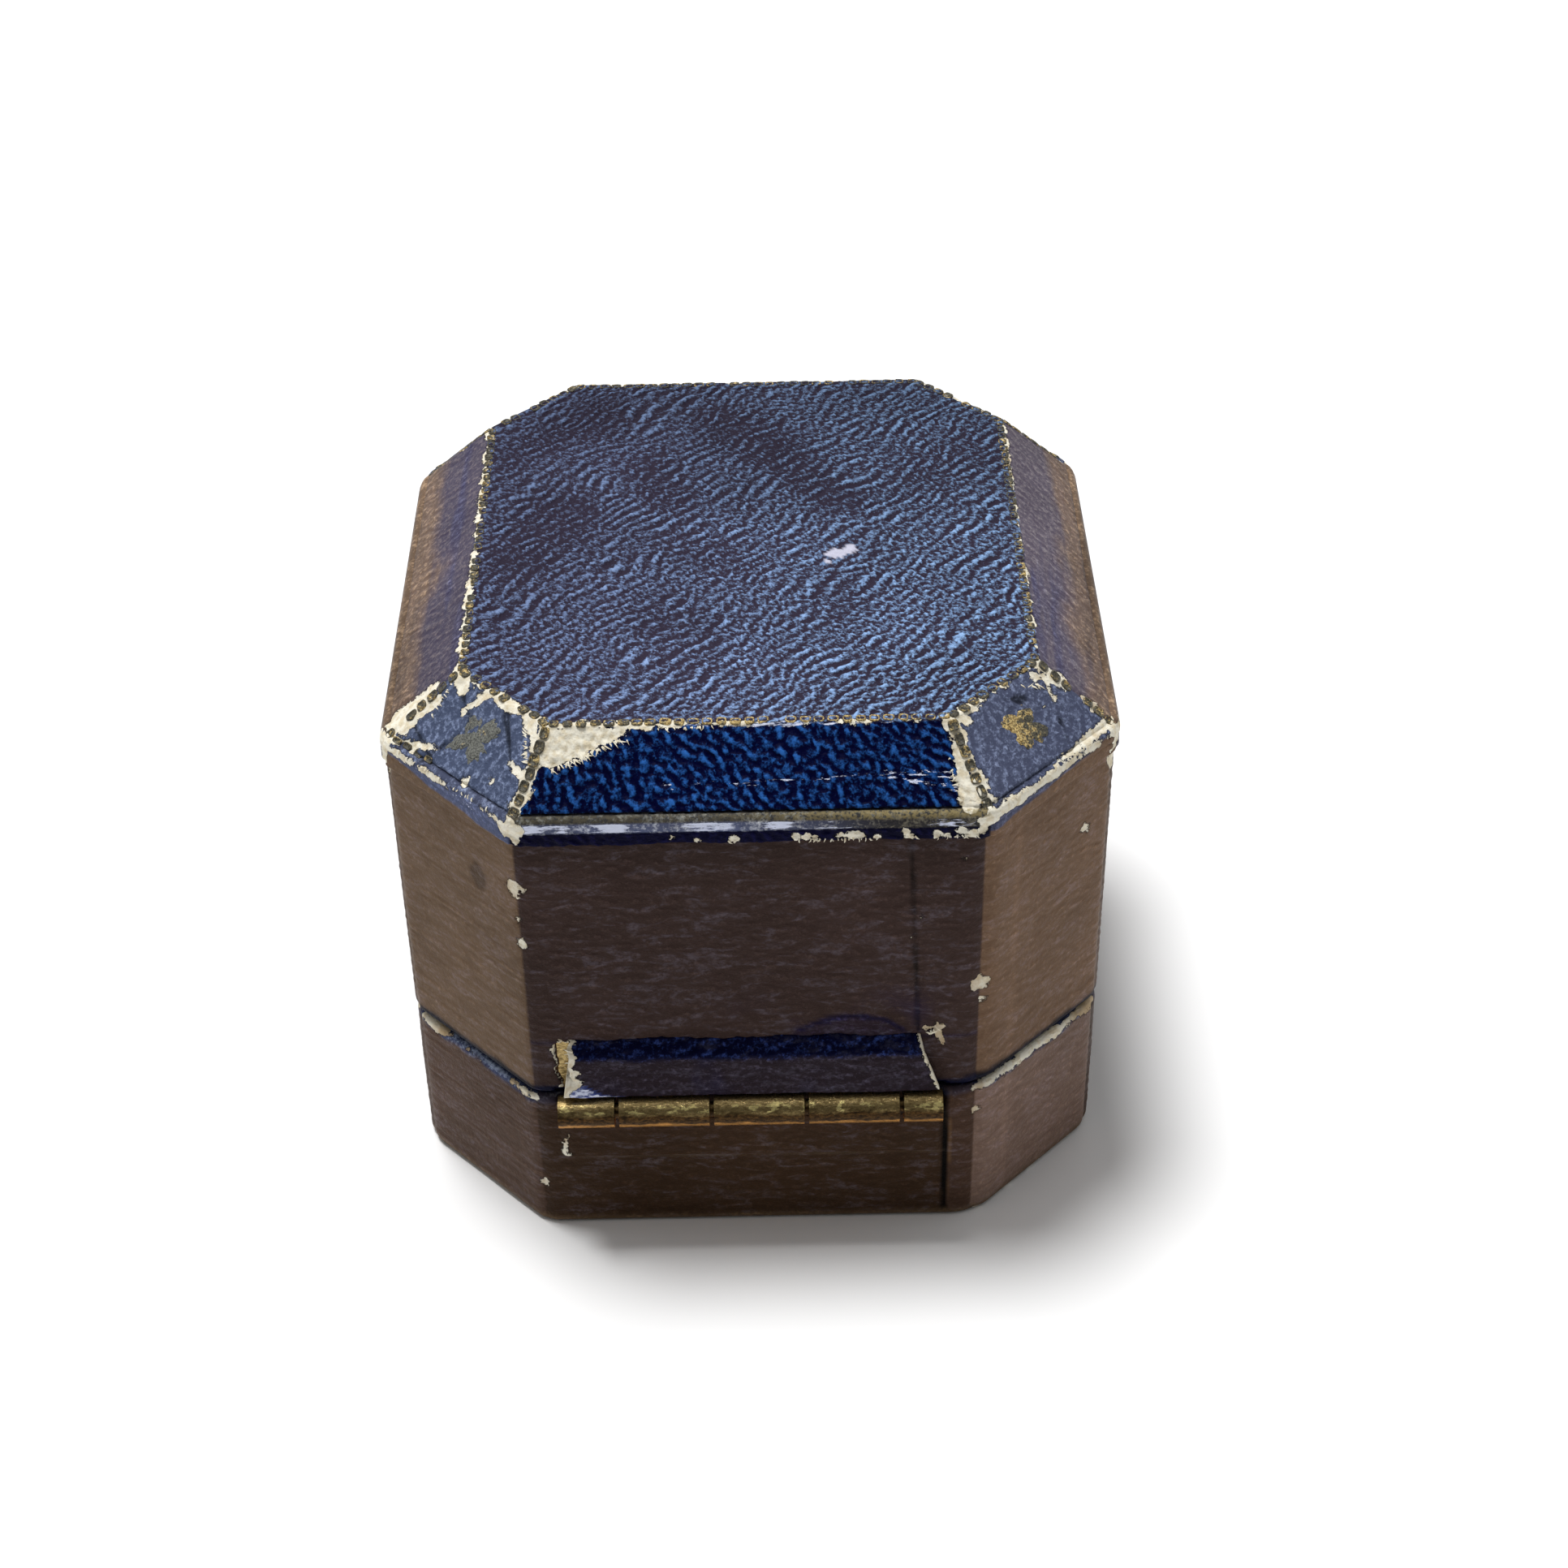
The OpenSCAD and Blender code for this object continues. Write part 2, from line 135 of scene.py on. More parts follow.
def octagon(o):
    w, d, c = o
    return np.array([[w, c - d], [w, d - c], [w - c, d], [c - w, d],
                     [-w, d - c], [-w, c - d], [c - w, -d], [w - c, -d]])


# ---------------------------------------------------------------- noise

def noise3(p, cell, seed):
    """Smooth noise from -1 to 1 at points p, with bumps about one cell wide."""
    q = p / cell
    i = np.floor(q).astype(np.int64)
    f = q - i
    f = f * f * (3 - 2 * f)
    total = np.zeros(p.shape[:-1])
    for corner in range(8):
        d = np.array([corner & 1, corner >> 1 & 1, corner >> 2 & 1])
        j = i + d
        h = (j[..., 0] * 73856093 ^ j[..., 1] * 19349663 ^ j[..., 2] * 83492791 ^ seed * 2654435) & 0xFFFFFFFF
        h = (h ^ h >> 13) * 1274126177 & 0xFFFFFFFF
        h = (h ^ h >> 16) * 2246822519 & 0xFFFFFFFF
        weight = np.prod(np.where(d, f, 1 - f), axis=-1)
        total += weight * ((h ^ h >> 15) & 0xFFFFFF) / 0xFFFFFF
    return total * 2 - 1


def rough3(p, cell, seed, octaves=3):
    total, size = 0, 0
    for k in range(octaves):
        total = total + noise3(p, cell / 2 ** k, seed + 17 * k) * 0.6 ** k
        size += 0.6 ** k
    return total / size * 1.6


FIELD_SIZE, FIELD_N = 64.0, 512


def grain_field(seed, pitch, angle, spread, band=0.3):
    """A repeating square of leather grain whose ridges lie across the wave direction at the given angle."""
    f = np.fft.fftfreq(FIELD_N, FIELD_SIZE / FIELD_N)
    fx, fy = np.meshgrid(f, f, indexing="ij")
    radius = np.hypot(fx, fy) + 1e-9
    turn = np.arctan2(fy, fx) - angle
    shape = np.exp(-0.5 * (np.log(radius * pitch) / band) ** 2 - 0.5 * (np.sin(turn) / spread) ** 2)
    white = np.random.default_rng(seed).standard_normal((FIELD_N, FIELD_N))
    out = np.fft.ifft2(np.fft.fft2(white) * shape).real
    return out / out.std()


def sample(field, s, t):
    n = FIELD_N
    u, v = s / FIELD_SIZE * n, t / FIELD_SIZE * n
    i, j = np.floor(u).astype(int), np.floor(v).astype(int)
    a, b = u - i, v - j
    g = lambda x, y: field[x % n, y % n]
    return ((g(i, j) * (1 - a) + g(i + 1, j) * a) * (1 - b)
            + (g(i, j + 1) * (1 - a) + g(i + 1, j + 1) * a) * b)


def straight_grain(seed, s, t, pitch, angle, spread, fine=0.5):
    """Broken, nearly parallel ridges with forks, as on a straight-grain morocco; its spread is about 1."""
    wander, bend = grain_field(seed + 1, 11.0, 0, 9), grain_field(seed + 2, 3.4, 0, 9)
    ws = s + 0.24 * sample(wander, s, t) + 0.06 * sample(bend, s, t)
    wt = t + 0.24 * sample(wander, t + 11, s) + 0.06 * sample(bend, t + 9, s)
    ridges = sample(grain_field(seed, pitch, angle, spread, 0.30), ws, wt)
    forks = sample(grain_field(seed + 3, pitch * 0.5, angle, spread * 2.2, 0.35), ws, wt)
    return 0.8 * ridges + fine * forks


def segment(p, a, b):
    """Distance of points p from the segment ab, and how far along it they lie, 0 to 1."""
    ab = b - a
    t = np.clip((p - a) @ ab / (ab @ ab), 0, 1)
    return np.linalg.norm(p - a - t[..., None] * ab, axis=-1), t


def step(x, a, b):
    x = np.clip((x - a) / (b - a), 0, 1)
    return x * x * (3 - 2 * x)


def dye(colours, share, low, high):
    """The valley and ridge colours, mixed with two others by a share for each point."""
    return [colour * (1 - share) + other * share for colour, other in zip(colours, (low, high))]


def linear(rgb):
    """The linear value of an sRGB colour given as 0 to 255."""
    c = np.asarray(rgb, float) / 255
    return np.where(c <= 0.04045, c / 12.92, ((c + 0.055) / 1.055) ** 2.4)


# ---------------------------------------------------------------- meshes

def ring(rows, counts):
    """Grid of points round the octagons in rows [(outline, z), ...], with counts[k] steps along side k."""
    corner = np.array([octagon(o) for o, _ in rows])
    cells, side, along = [], [], []
    for k in range(8):
        t = np.arange(counts[k]) / counts[k]
        a, b = corner[:, k, None, :], corner[:, (k + 1) % 8, None, :]
        cells.append(a + (b - a) * t[None, :, None])
        side += [k] * counts[k]
        along += list(t)
    xy = np.concatenate(cells, axis=1)
    z = np.array([z for _, z in rows])[:, None] + np.zeros(xy.shape[1])
    return np.dstack([xy, z]), np.array(side), np.array(along)


def grid_quads(rows, columns, closed_rows=False, closed_columns=True, base=0):
    r = np.arange(rows if closed_rows else rows - 1)
    c = np.arange(columns if closed_columns else columns - 1)
    r, c = (x.ravel() for x in np.meshgrid(r, c, indexing="ij"))
    r1, c1 = (r + 1) % rows, (c + 1) % columns
    return np.stack([r * columns + c, r1 * columns + c, r1 * columns + c1, r * columns + c1], 1) + base


def soften(co, steps, mask=None):
    """Rounds the corners that a closed row of points turns, and leaves straight runs as they are."""
    for _ in range(steps):
        mean = (np.roll(co, 1, 1) + 2 * co + np.roll(co, -1, 1)) / 4
        co = mean if mask is None else co + (mean - co) * mask[:, None, None]
    return co


# Radius of the rounding at each upright corner of the octagon, in mm
TOP_ROUNDING = np.array([3.5, 2.0, 1.2, 1.6, 2.0, 3.5, 3.5, 3.5])
LID_ROUNDING = np.array([3.5, 2.0, 0.9, 3.6, 2.0, 3.5, 3.5, 3.5])
BASE_ROUNDING = np.array([3.5, 3.2, 2.2, 4.0, 3.0, 3.5, 3.5, 3.5])
HALF_TURN = math.radians(22.5)


def corner_ways(corners):
    """Unit vectors from each corner of an octagon towards its inside."""
    before, after = corners - np.roll(corners, 1, 0), np.roll(corners, -1, 0) - corners
    out = after / np.linalg.norm(after, axis=1)[:, None] - before / np.linalg.norm(before, axis=1)[:, None]
    return out / np.linalg.norm(out, axis=1)[:, None]


def round_corners(p, corners, radii):
    """Moves the points near each upright corner inwards, onto an arc of that corner's radius."""
    out = p.copy()
    for corner, way, radius in zip(corners, corner_ways(corners), radii):
        near = np.clip(radius * math.tan(HALF_TURN) - np.linalg.norm(p[:, :2] - corner, axis=1), 0, None)
        move = (radius - np.sqrt(radius ** 2 - near ** 2)) / math.cos(HALF_TURN)
        out[:, :2] += way * move[:, None]
    return out


def normals(co, quads):
    a, b, c, d = (co[quads[:, i]] for i in range(4))
    face = np.cross(c - a, d - b)
    out = np.zeros_like(co)
    for i in range(4):
        for axis in range(3):
            out[:, axis] += np.bincount(quads[:, i], face[:, axis], len(co))
    return out / np.maximum(np.linalg.norm(out, axis=1, keepdims=True), 1e-12)


def make_object(name, co, faces, material, body=None, slot=None, replaces=(), smooth=True, **attributes):
    """A mesh piece from points in mm. An attribute is one number for all, or a number or colour per point."""
    mesh = bpy.data.meshes.new(name)
    mesh.from_pydata((np.asarray(co, float) * MM).tolist(), [], [list(map(int, f)) for f in faces])
    if smooth:
        mesh.polygons.foreach_set("use_smooth", [True] * len(mesh.polygons))
    for key, value in attributes.items():
        value = np.asarray(value, np.float32)
        if value.ndim == 2:
            rgba = np.column_stack([np.clip(value, 0, 1), np.ones(len(value), np.float32)])
            mesh.attributes.new(key, "FLOAT_COLOR", "POINT").data.foreach_set("color", rgba.ravel())
        else:
            value = np.broadcast_to(value, len(co)).copy()
            mesh.attributes.new(key, "FLOAT", "POINT").data.foreach_set("value", value)
    mesh.update()
    piece = bpy.data.objects.new(name, mesh)
    bpy.context.scene.collection.objects.link(piece)
    mesh.materials.append(material)
    if body:
        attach(piece, body)
    if replaces:
        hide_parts(*replaces)
    return piece


# ---------------------------------------------------------------- materials

class Nodes:
    """A short way to wire a node material."""

    def __init__(self, name):
        self.material = bpy.data.materials.new(name)
        self.material.use_nodes = True
        self.tree = self.material.node_tree
        self.shader = self.tree.nodes["Principled BSDF"]
        self.place = self.tree.nodes.new("ShaderNodeTexCoord").outputs["Object"]

    def put(self, socket, value):
        if isinstance(value, bpy.types.NodeSocket):
            self.tree.links.new(value, socket)
        elif isinstance(value, (tuple, list, np.ndarray)):
            value = list(value)
            socket.default_value = value + [1.0] if len(value) == 3 and socket.type == "RGBA" else value
        else:
            socket.default_value = value

    def shade(self, **values):
        for key, value in values.items():
            self.put(self.shader.inputs[key.replace("_", " ").title().replace("Ior", "IOR")], value)
        return self.material

    def attribute(self, name, colour=False):
        node = self.tree.nodes.new("ShaderNodeAttribute")
        node.attribute_name = name
        return node.outputs["Color" if colour else "Fac"]

    def math(self, kind, a, b=0.0, clamp=False):
        node = self.tree.nodes.new("ShaderNodeMath")
        node.operation, node.use_clamp = kind, clamp
        self.put(node.inputs[0], a)
        self.put(node.inputs[1], b)
        return node.outputs[0]

    def add(self, a, b):
        return self.math("ADD", a, b)

    def times(self, a, b):
        return self.math("MULTIPLY", a, b)

    def swing(self, noise, size):
        """Noise with a mean of 0.5, moved to a mean of 0 and scaled."""
        return self.times(self.math("SUBTRACT", noise, 0.5), size)

    def noise(self, per_mm, detail=3.0, rough=0.55, stretch=(1, 1, 1), shift=0.0, bend=0.0):
        """Noise of about per_mm bumps a millimetre, from 0 to 1 with a mean of 0.5."""
        mapping = self.tree.nodes.new("ShaderNodeMapping")
        self.put(mapping.inputs["Vector"], self.place)
        mapping.inputs["Scale"].default_value = stretch
        mapping.inputs["Location"].default_value = (shift, shift * 0.7, shift * 0.3)
        node = self.tree.nodes.new("ShaderNodeTexNoise")
        self.put(node.inputs["Vector"], mapping.outputs[0])
        node.inputs["Scale"].default_value = per_mm / MM
        node.inputs["Detail"].default_value = detail
        node.inputs["Roughness"].default_value = rough
        node.inputs["Distortion"].default_value = bend
        return node.outputs[0]

    def span(self, value, low, high, to_low=0.0, to_high=1.0, smooth=True):
        node = self.tree.nodes.new("ShaderNodeMapRange")
        node.interpolation_type = "SMOOTHSTEP" if smooth else "LINEAR"
        for i, v in enumerate((value, low, high, to_low, to_high)):
            self.put(node.inputs[i], v)
        return node.outputs[0]

    def mix(self, share, a, b, blend="MIX"):
        node = self.tree.nodes.new("ShaderNodeMix")
        node.data_type, node.blend_type = "RGBA", blend
        for key, value in (("Factor_Float", share), ("A_Color", a), ("B_Color", b)):
            socket = next(s for s in node.inputs if s.identifier == key)
            self.put(socket, value)
        return next(s for s in node.outputs if s.identifier == "Result_Color")

    def bump(self, height, distance_mm, strength=1.0):
        node = self.tree.nodes.new("ShaderNodeBump")
        node.inputs["Strength"].default_value = strength
        node.inputs["Distance"].default_value = distance_mm * MM
        self.put(node.inputs["Height"], height)
        return node.outputs[0]


CREAM = [linear(c) for c in ((244, 239, 222), (226, 214, 186), (168, 138, 96))]
GLEAM = linear((222, 228, 250))


def leather_material():
    """Dyed morocco: valley colours, ridge colours lighter as a painted highlight on the grain, painted sheen streaks
    and highlights, crisp worn patches down to the pale core with painted shade round their lip, gilding where it is
    left.
    """
    n = Nodes("morocco_leather")
    speck, pebble = n.noise(8, 3, 0.6), n.noise(3.3, 4, 0.62, shift=0.21)
    fleck, tear = n.noise(2.2, 3, 0.55, shift=0.31), n.noise(2.6, 6, 0.72, shift=0.11)
    rough_grain = n.add(n.swing(pebble, 7.0),
                         n.swing(speck, 3.0))
    grain = n.add(n.attribute("grain"), rough_grain)
    low, high = n.attribute("valley", True), n.attribute("ridge", True)
    # painted highlight: the ridge colour lights the grain's ridges, and a still brighter tone lights its highest peaks
    colour = n.mix(n.span(grain, -0.5, 2.3), low, high)
    colour = n.mix(n.span(grain, 1.5, 2.9, 0.0, 0.5), colour, n.mix(1.0, high, (1.5, 1.45, 1.35), "MULTIPLY"))
    # painted sheen: light streaks along the grain of the sides, which also raise its relief
    streak = n.noise(0.46, 4, 0.6, stretch=(1, 1, 3.0), shift=0.57, bend=0.9)
    fine = n.noise(2.6, 3, 0.6, stretch=(1, 1, 1.5), shift=0.83)
    hair = n.times(n.span(streak, 0.47, 0.66), n.span(fine, 0.32, 0.68))
    colour = n.mix(n.times(hair, n.attribute("hair")), colour,
                   n.mix(0.5, n.mix(1.0, colour, (2.3, 2.3, 2.5), "MULTIPLY"), linear((96, 96, 110))))
    # painted shade in the grooves between the sheen streaks
    sunk = n.times(n.span(streak, 0.48, 0.36), n.attribute("hair"))
    colour = n.mix(n.times(sunk, 0.5), colour, n.mix(1.0, colour, (0.62, 0.58, 0.56), "MULTIPLY"))
    colour = n.mix(0.35, colour, n.mix(speck, (0.55, 0.55, 0.55), (1.5, 1.5, 1.5)), "MULTIPLY")
    # painted highlight: scratches and edges that catch the light, broken into short streaks
    gleam_breakup = n.noise(5.5, 5, 0.7, stretch=(0.16, 1, 1), shift=0.47)
    gleam_at = n.add(n.attribute("gleam"), n.swing(gleam_breakup, 2.2))
    colour = n.mix(n.span(gleam_at, 0.0, 0.16), colour, GLEAM)
    worn_at = n.add(n.attribute("worn"), n.swing(tear, 0.9))
    worn = n.span(worn_at, -0.015, 0.02)
    # painted shade: a dark band round the lip of each worn patch
    torn_lip_shade = n.math("SUBTRACT", n.span(worn_at, -0.13, -0.02), worn, True)
    colour = n.mix(n.times(torn_lip_shade, 0.7), colour, linear((22, 18, 20)))
    core = n.mix(n.span(fleck, 0.34, 0.6), CREAM[1], CREAM[0])
    core = n.mix(n.attribute("tan"), core, CREAM[2])
    core = n.mix(n.span(speck, 0.26, 0.46, 0.26, 0.0), core, linear((132, 106, 74)))
    colour = n.mix(worn, colour, core)
    gilt = n.times(n.attribute("gilt"), n.span(n.noise(5, 4, 0.65, shift=0.7), 0.36, 0.56))
    colour = n.mix(gilt, colour, linear((158, 142, 98)))
    height = n.add(n.times(grain, 0.30), n.times(worn, -1.1))
    height = n.add(height, n.times(hair, 0.5))
    height = n.add(height, n.times(fleck, 0.4))
    rough = n.add(n.span(worn, 0, 1, 0.42, 0.86), n.swing(fleck, 0.35))
    return n.shade(base_color=colour, roughness=rough, normal=n.bump(height, 0.04), specular_ior_level=0.04)


LEATHER = leather_material()


# ---------------------------------------------------------------- leather paint

# For each side of the octagon: valley and ridge colours on the bevels, and on the skirt, lid side and base side
# Each ridge colour is lighter than its valley colour as a painted highlight on the grain.
# The colours differ from side to side as painted light: blue on the up-facing bevels and brown on the upright faces
# stand for the leather's bronze sheen, the rear bevel is painted deep blue as a dark reflection, the rear faces are
# painted darker as shade and the corner faces lighter.
PAINT = {
    "panel": ((45, 39, 54), (116, 140, 180)),
    "bevel": [((72, 66, 84), (122, 112, 116)), ((74, 84, 110), (144, 158, 192)), ((0, 2, 40), (36, 86, 156)),
              ((76, 82, 106), (140, 152, 184)), ((84, 76, 90), (140, 132, 136)), ((62, 68, 92), (126, 140, 172)),
              ((4, 8, 40), (54, 92, 144)), ((62, 68, 92), (126, 140, 172))],
    "skirt": [(66, 60, 72), (84, 92, 122), (0, 0, 32), (76, 80, 104), (66, 60, 72), (68, 74, 98), (4, 6, 34),
              (68, 74, 98)],
    "lid": [(88, 71, 59), (107, 86, 67), (61, 46, 42), (112, 88, 69), (88, 71, 59), (96, 78, 63), (58, 43, 39),
            (96, 78, 63)],
    "base": [(75, 59, 50), (84, 65, 54), (59, 42, 29), (121, 99, 87), (75, 59, 50), (84, 66, 54), (55, 39, 29),
             (84, 66, 54)],
}


def side_colour(table, side, share=1.0):
    return linear(np.array(table))[side] * share


# ---------------------------------------------------------------- lid top: panel, bevels and skirt

def panel_grid(columns, diagonal, straight):
    """Points of the flat panel in rows along X, from the front to the back."""
    w, d, c = PANEL
    y = np.concatenate([np.linspace(-d, c - d, diagonal + 1)[:-1], np.linspace(c - d, d - c, straight + 1)[:-1],
                        np.linspace(d - c, d, diagonal + 1)])
    half = w - np.clip(abs(y) - (d - c), 0, None)
    x = np.linspace(-1, 1, columns + 1)
    return np.dstack([half[:, None] * x, y[:, None] + 0 * x, np.full((len(y), columns + 1), TOP_Z)])


def panel_edge(rows, columns, diagonal, straight):
    """Indices of the panel grid's border, in the order in which ring() counts."""
    index = np.arange(rows * columns).reshape(rows, columns)
    up = list(index[diagonal:, -1])
    rear = list(index[-1, ::-1])[1:]
    down = list(index[::-1, 0])[1:]
    front = list(index[0, :])[1:]
    last = list(index[:diagonal, -1])[1:]
    return np.array(up + rear + down + front + last)


# The panel's border, the ridges from its corners down to the skirt's, and the skirt's upper edge
BORDERS, LOWERS = loop_lines(octagon(PANEL), TOP_Z), loop_lines(octagon(SKIRT), BEVEL_Z)
RIDGES = drop_lines(octagon(PANEL), TOP_Z, octagon(SKIRT), BEVEL_Z)


def edge_wear(p, lines, widths, cell, seed, rough=0.35):
    """The most worn of some edges: positive where the leather is gone, in mm."""
    out = np.full(len(p), -9.0)
    fray = rough3(p, cell, seed, 4)
    for (a, b), width in zip(lines, widths):
        d, t = segment(p, a, b)
        first, last = width if isinstance(width, tuple) else (width, width)
        out = np.maximum(out, first + (last - first) * t + rough * fray - d)
    return out


def spots(p, places, seed):
    """Worn spots [(x, y, z, radius), ...]."""
    out = np.full(len(p), -9.0)
    fray = rough3(p, 0.5, seed)
    for x, y, z, r in places:
        d = np.linalg.norm(p - np.array([x, y, z]), axis=1)
        out = np.maximum(out, r * (1 + 0.55 * fray) - d)
    return out


def wedge(p, a, b, width_a, width_b, seed):
    """A worn streak that narrows from width_a at a to width_b at b."""
    d, t = segment(p, np.array(a), np.array(b))
    return width_a + (width_b - width_a) * t + 0.16 * rough3(p, 0.5, seed) - d


def bevel_point(k, along, down):
    """A point on bevel k: along it from 0 to 1, and down the slope from 0 to 1."""
    top, low = octagon(PANEL), octagon(SKIRT)
    a = top[k] + (top[(k + 1) % 8] - top[k]) * along
    b = low[k] + (low[(k + 1) % 8] - low[k]) * along
    xy = a + (b - a) * down
    return np.array([xy[0], xy[1], TOP_Z + (BEVEL_Z - TOP_Z) * down])


# Side number of the points on the flat panel, after the eight sides of the octagon
PANEL_FACE = 8
# Darker, flatter places in the panel's leather: the two ends of each in mm, its half width and its strength
PANEL_PATCHES = (
    (14.6, 1.6, 11.6, -3.0, 4.0, 1.0), (5.2, -5.0, 6.4, -9.4, 3.0, 0.8), (1.5, -14.7, -5.4, -4.5, 3.2, 1.0),
    (15.2, -10.4, 9.8, -15.4, 2.8, 0.8), (4.2, 0.0, 1.8, 3.0, 3.6, 0.5), (5.8, 8.0, 3.6, 13.0, 3.2, 0.5),
    (-11.0, -7.6, -14.8, -10.4, 4.2, 0.5), (-5.7, 6.0, -6.0, 8.6, 2.6, 0.4))
# Half width of the wear along each edge, in mm, or at its two ends; an edge with a negative one is hardly worn
BORDER_WEAR = (0.26, 0.30, (0.34, -0.12), 0.26, 0.04, 0.10, -0.08, 0.10)
RIDGE_WEAR = (0.15, 0.30, 0.36, 0.36, 0.20, 0.16, 0.18, 0.14)
LOWER_WEAR = (-0.2, (0.22, -0.1), -0.5, (0.34, 0.02), -0.2, 0.05, -0.5, 0.05)
TIP_WEAR = (0.5, 1.0, 0.85, 0.7, 1.0, 0.5, 0.5, 0.4)
# Worn wedges on the bevels: the side, two ends as (along, down), the half width at each, and a seed
WORN_WEDGES = (
    (REAR, (0.03, 0.22), (0.20, 0.06), 1.2, 0.18, 12), (REAR, (0.985, 0.28), (0.965, 0.85), 0.25, 0.62, 14),
    (1, (0.06, 0.3), (0.05, 0.75), 0.30, 0.42, 15), (RIGHT, (0.975, 0.3), (0.965, 0.8), 0.35, 0.8, 16),
    (1, (0.14, 0.10), (0.05, 0.02), 0.5, 0.7, 22), (1, (0.03, 0.93), (0.36, 0.72), 0.28, 0.10, 26),
    (1, (0.36, 0.02), (0.30, 0.26), 0.42, 0.12, 27), (1, (0.99, 0.55), (0.84, 0.48), 0.3, 0.1, 28),
    (3, (0.92, 0.14), (0.82, 0.40), 0.17, 0.05, 29), (1, (0.84, 0.03), (0.97, 0.2), 0.55, 0.3, 23),
    (3, (0.97, 0.35), (0.92, 0.18), 0.1, 0.28, 24), (3, (0.5, 0.93), (0.96, 0.88), 0.12, 0.35, 25))
# Worn spots on the bevels: the side, the place as along and down, and the radius
BEVEL_SPOTS = (
    (3, 0.86, 0.1, 0.35), (3, 0.12, 0.08, 0.4), (RIGHT, 0.99, 0.0, 0.6), (1, 0.30, 0.30, 0.2), (1, 0.62, 0.86, 0.3),
    (1, 0.2, 0.86, 0.35), (1, 0.78, 0.72, 0.16), (3, 0.72, 0.40, 0.14))
# Chips along the skirt's lower edge at the rear: x, height over the edge, and radius
CHIP_Z = 0.15
SKIRT_CHIPS = (
    (1.0, 0.15, 0.30), (-2.7, 0.25, 0.28), (-3.2, 0.15, 0.34), (-3.7, 0.1, 0.25), (-5.3, 0.25, 0.26),
    (-5.8, 0.15, 0.34), (-6.4, 0.2, 0.28), (-7.4, -0.05, 0.3), (-9.2, 0.5, 0.22), (-9.3, 0.1, 0.26),
    (-10.9, 0.25, 0.24), (-11.5, 0.15, 0.2), (-12.4, 0.5, 0.36), (-13.1, 0.3, 0.42), (-13.6, 0.5, 0.4),
    (4.6, 0.3, 0.16), (3.2, 0.05, 0.14))
# The pale chip on the panel: x, y and radius of its parts
PANEL_CHIP = ((-5.6, 2.1, 0.55), (-6.5, 1.5, 0.5), (-5.1, 2.9, 0.25))
# Creases in the corner facets: the side and two ends as (along, down)
CREASES = (
    (1, (0.10, 0.10), (0.42, 0.36)), (1, (0.42, 0.36), (0.30, 0.92)), (1, (0.62, 0.10), (0.86, 0.52)),
    (1, (0.0, 0.62), (0.34, 0.86)), (3, (0.93, 0.12), (0.80, 0.45)), (3, (0.80, 0.45), (0.66, 0.86)),
    (3, (0.5, 0.12), (0.66, 0.22)), (5, (0.3, 0.1), (0.5, 0.8)), (7, (0.6, 0.2), (0.3, 0.8)))
# Scratches on the rear bevel that catch the light: along and down at two ends, and strength
SCRATCHES = (
    (0.30, 0.61, 0.46, 0.60, 0.20), (0.33, 0.66, 0.52, 0.64, 0.10), (0.45, 0.61, 0.70, 0.57, 0.26),
    (0.52, 0.57, 0.66, 0.60, 0.10), (0.66, 0.58, 0.82, 0.54, 0.26), (0.80, 0.50, 0.955, 0.61, 0.30),
    (0.78, 0.545, 0.95, 0.69, 0.30), (0.84, 0.61, 0.95, 0.74, 0.22), (0.86, 0.52, 0.96, 0.55, 0.24))


def top_rows():
    """Outlines, heights and kinds of the rows from the panel down over the skirt and up again inside."""
    slope = [("bevel", f, 0) for f in np.linspace(0, 0.875, 34)[1:]]
    slope += [("groove", 0.885, 0.10), ("groove", 0.9, 0.06), ("fillet", 0.915, 0), ("fillet", 0.935, -0.035),
              ("fillet", 0.955, -0.035), ("fillet", 0.975, -0.01)]
    rows = [(inset(PANEL + (SKIRT - PANEL) * f, t), TOP_Z + (BEVEL_Z - TOP_Z) * f - t * 0.8, kind)
            for kind, f, t in slope]
    rows += [(inset(SKIRT, t), BEVEL_Z - drop, kind) for kind, t, drop in (
        ("fillet", 0.10, -0.06), ("shine", 0.03, 0.08), ("shine", 0, 0.20), ("shine", 0, 0.35),
        ("shine", 0, 0.50), ("shine", 0.03, 0.62))]
    rows += [(SKIRT, z, "skirt") for z in np.linspace(BEVEL_Z - 0.72, SKIRT_Z0 + 0.12, 7)]
    rows += [(inset(SKIRT, t), z, kind) for kind, t, z in (
        ("skirt", 0.06, SKIRT_Z0 + 0.02), ("under", 0.2, SKIRT_Z0), ("under", 0.26, SKIRT_Z0 + 0.2),
        ("under", 0.26, BEVEL_Z - 0.25))]
    return rows + [(inset(PANEL, 0.3), TOP_Z - 0.55, "under")]


def top_grain(p, face):
    """Straight grain on every face of the lid's top, flatter in the panel's dark patches."""
    on_panel, grain = face == PANEL_FACE, np.zeros(len(p))
    x, y = p[on_panel, 0], p[on_panel, 1]
    grain[on_panel] = straight_grain(11, x, y, 0.86, math.radians(-41), 0.36, 0.85)
    for k, (a, b) in enumerate(LOWERS):
        here, way = face == k, (b - a)[:2] / np.linalg.norm(b - a)
        along, down = p[here, :2] @ way + 23 * k, (TOP_Z - p[here, 2]) * 1.33 + 7 * k
        angle, pitch, spread, share = ((-36, 0.80, 0.72, 1.25) if k in (REAR, FRONT)
                                       else (20, 0.8, 0.5, 0.5) if k % 2 else (20, 0.9, 0.4, 0.45))
        grain[here] = straight_grain(31 + k, along, down, pitch, math.radians(angle), spread) * share
    dark = np.zeros(len(p))
    for x0, y0, x1, y1, wide, share in PANEL_PATCHES:
        d, _ = segment(p, np.array([x0, y0, TOP_Z]), np.array([x1, y1, TOP_Z]))
        dark = np.maximum(dark, share * step(d + 1.1 * rough3(p, 4.5, 33), wide, 0.25 * wide))
    return grain - np.where(on_panel, 0.58 * dark - 0.11, 0)


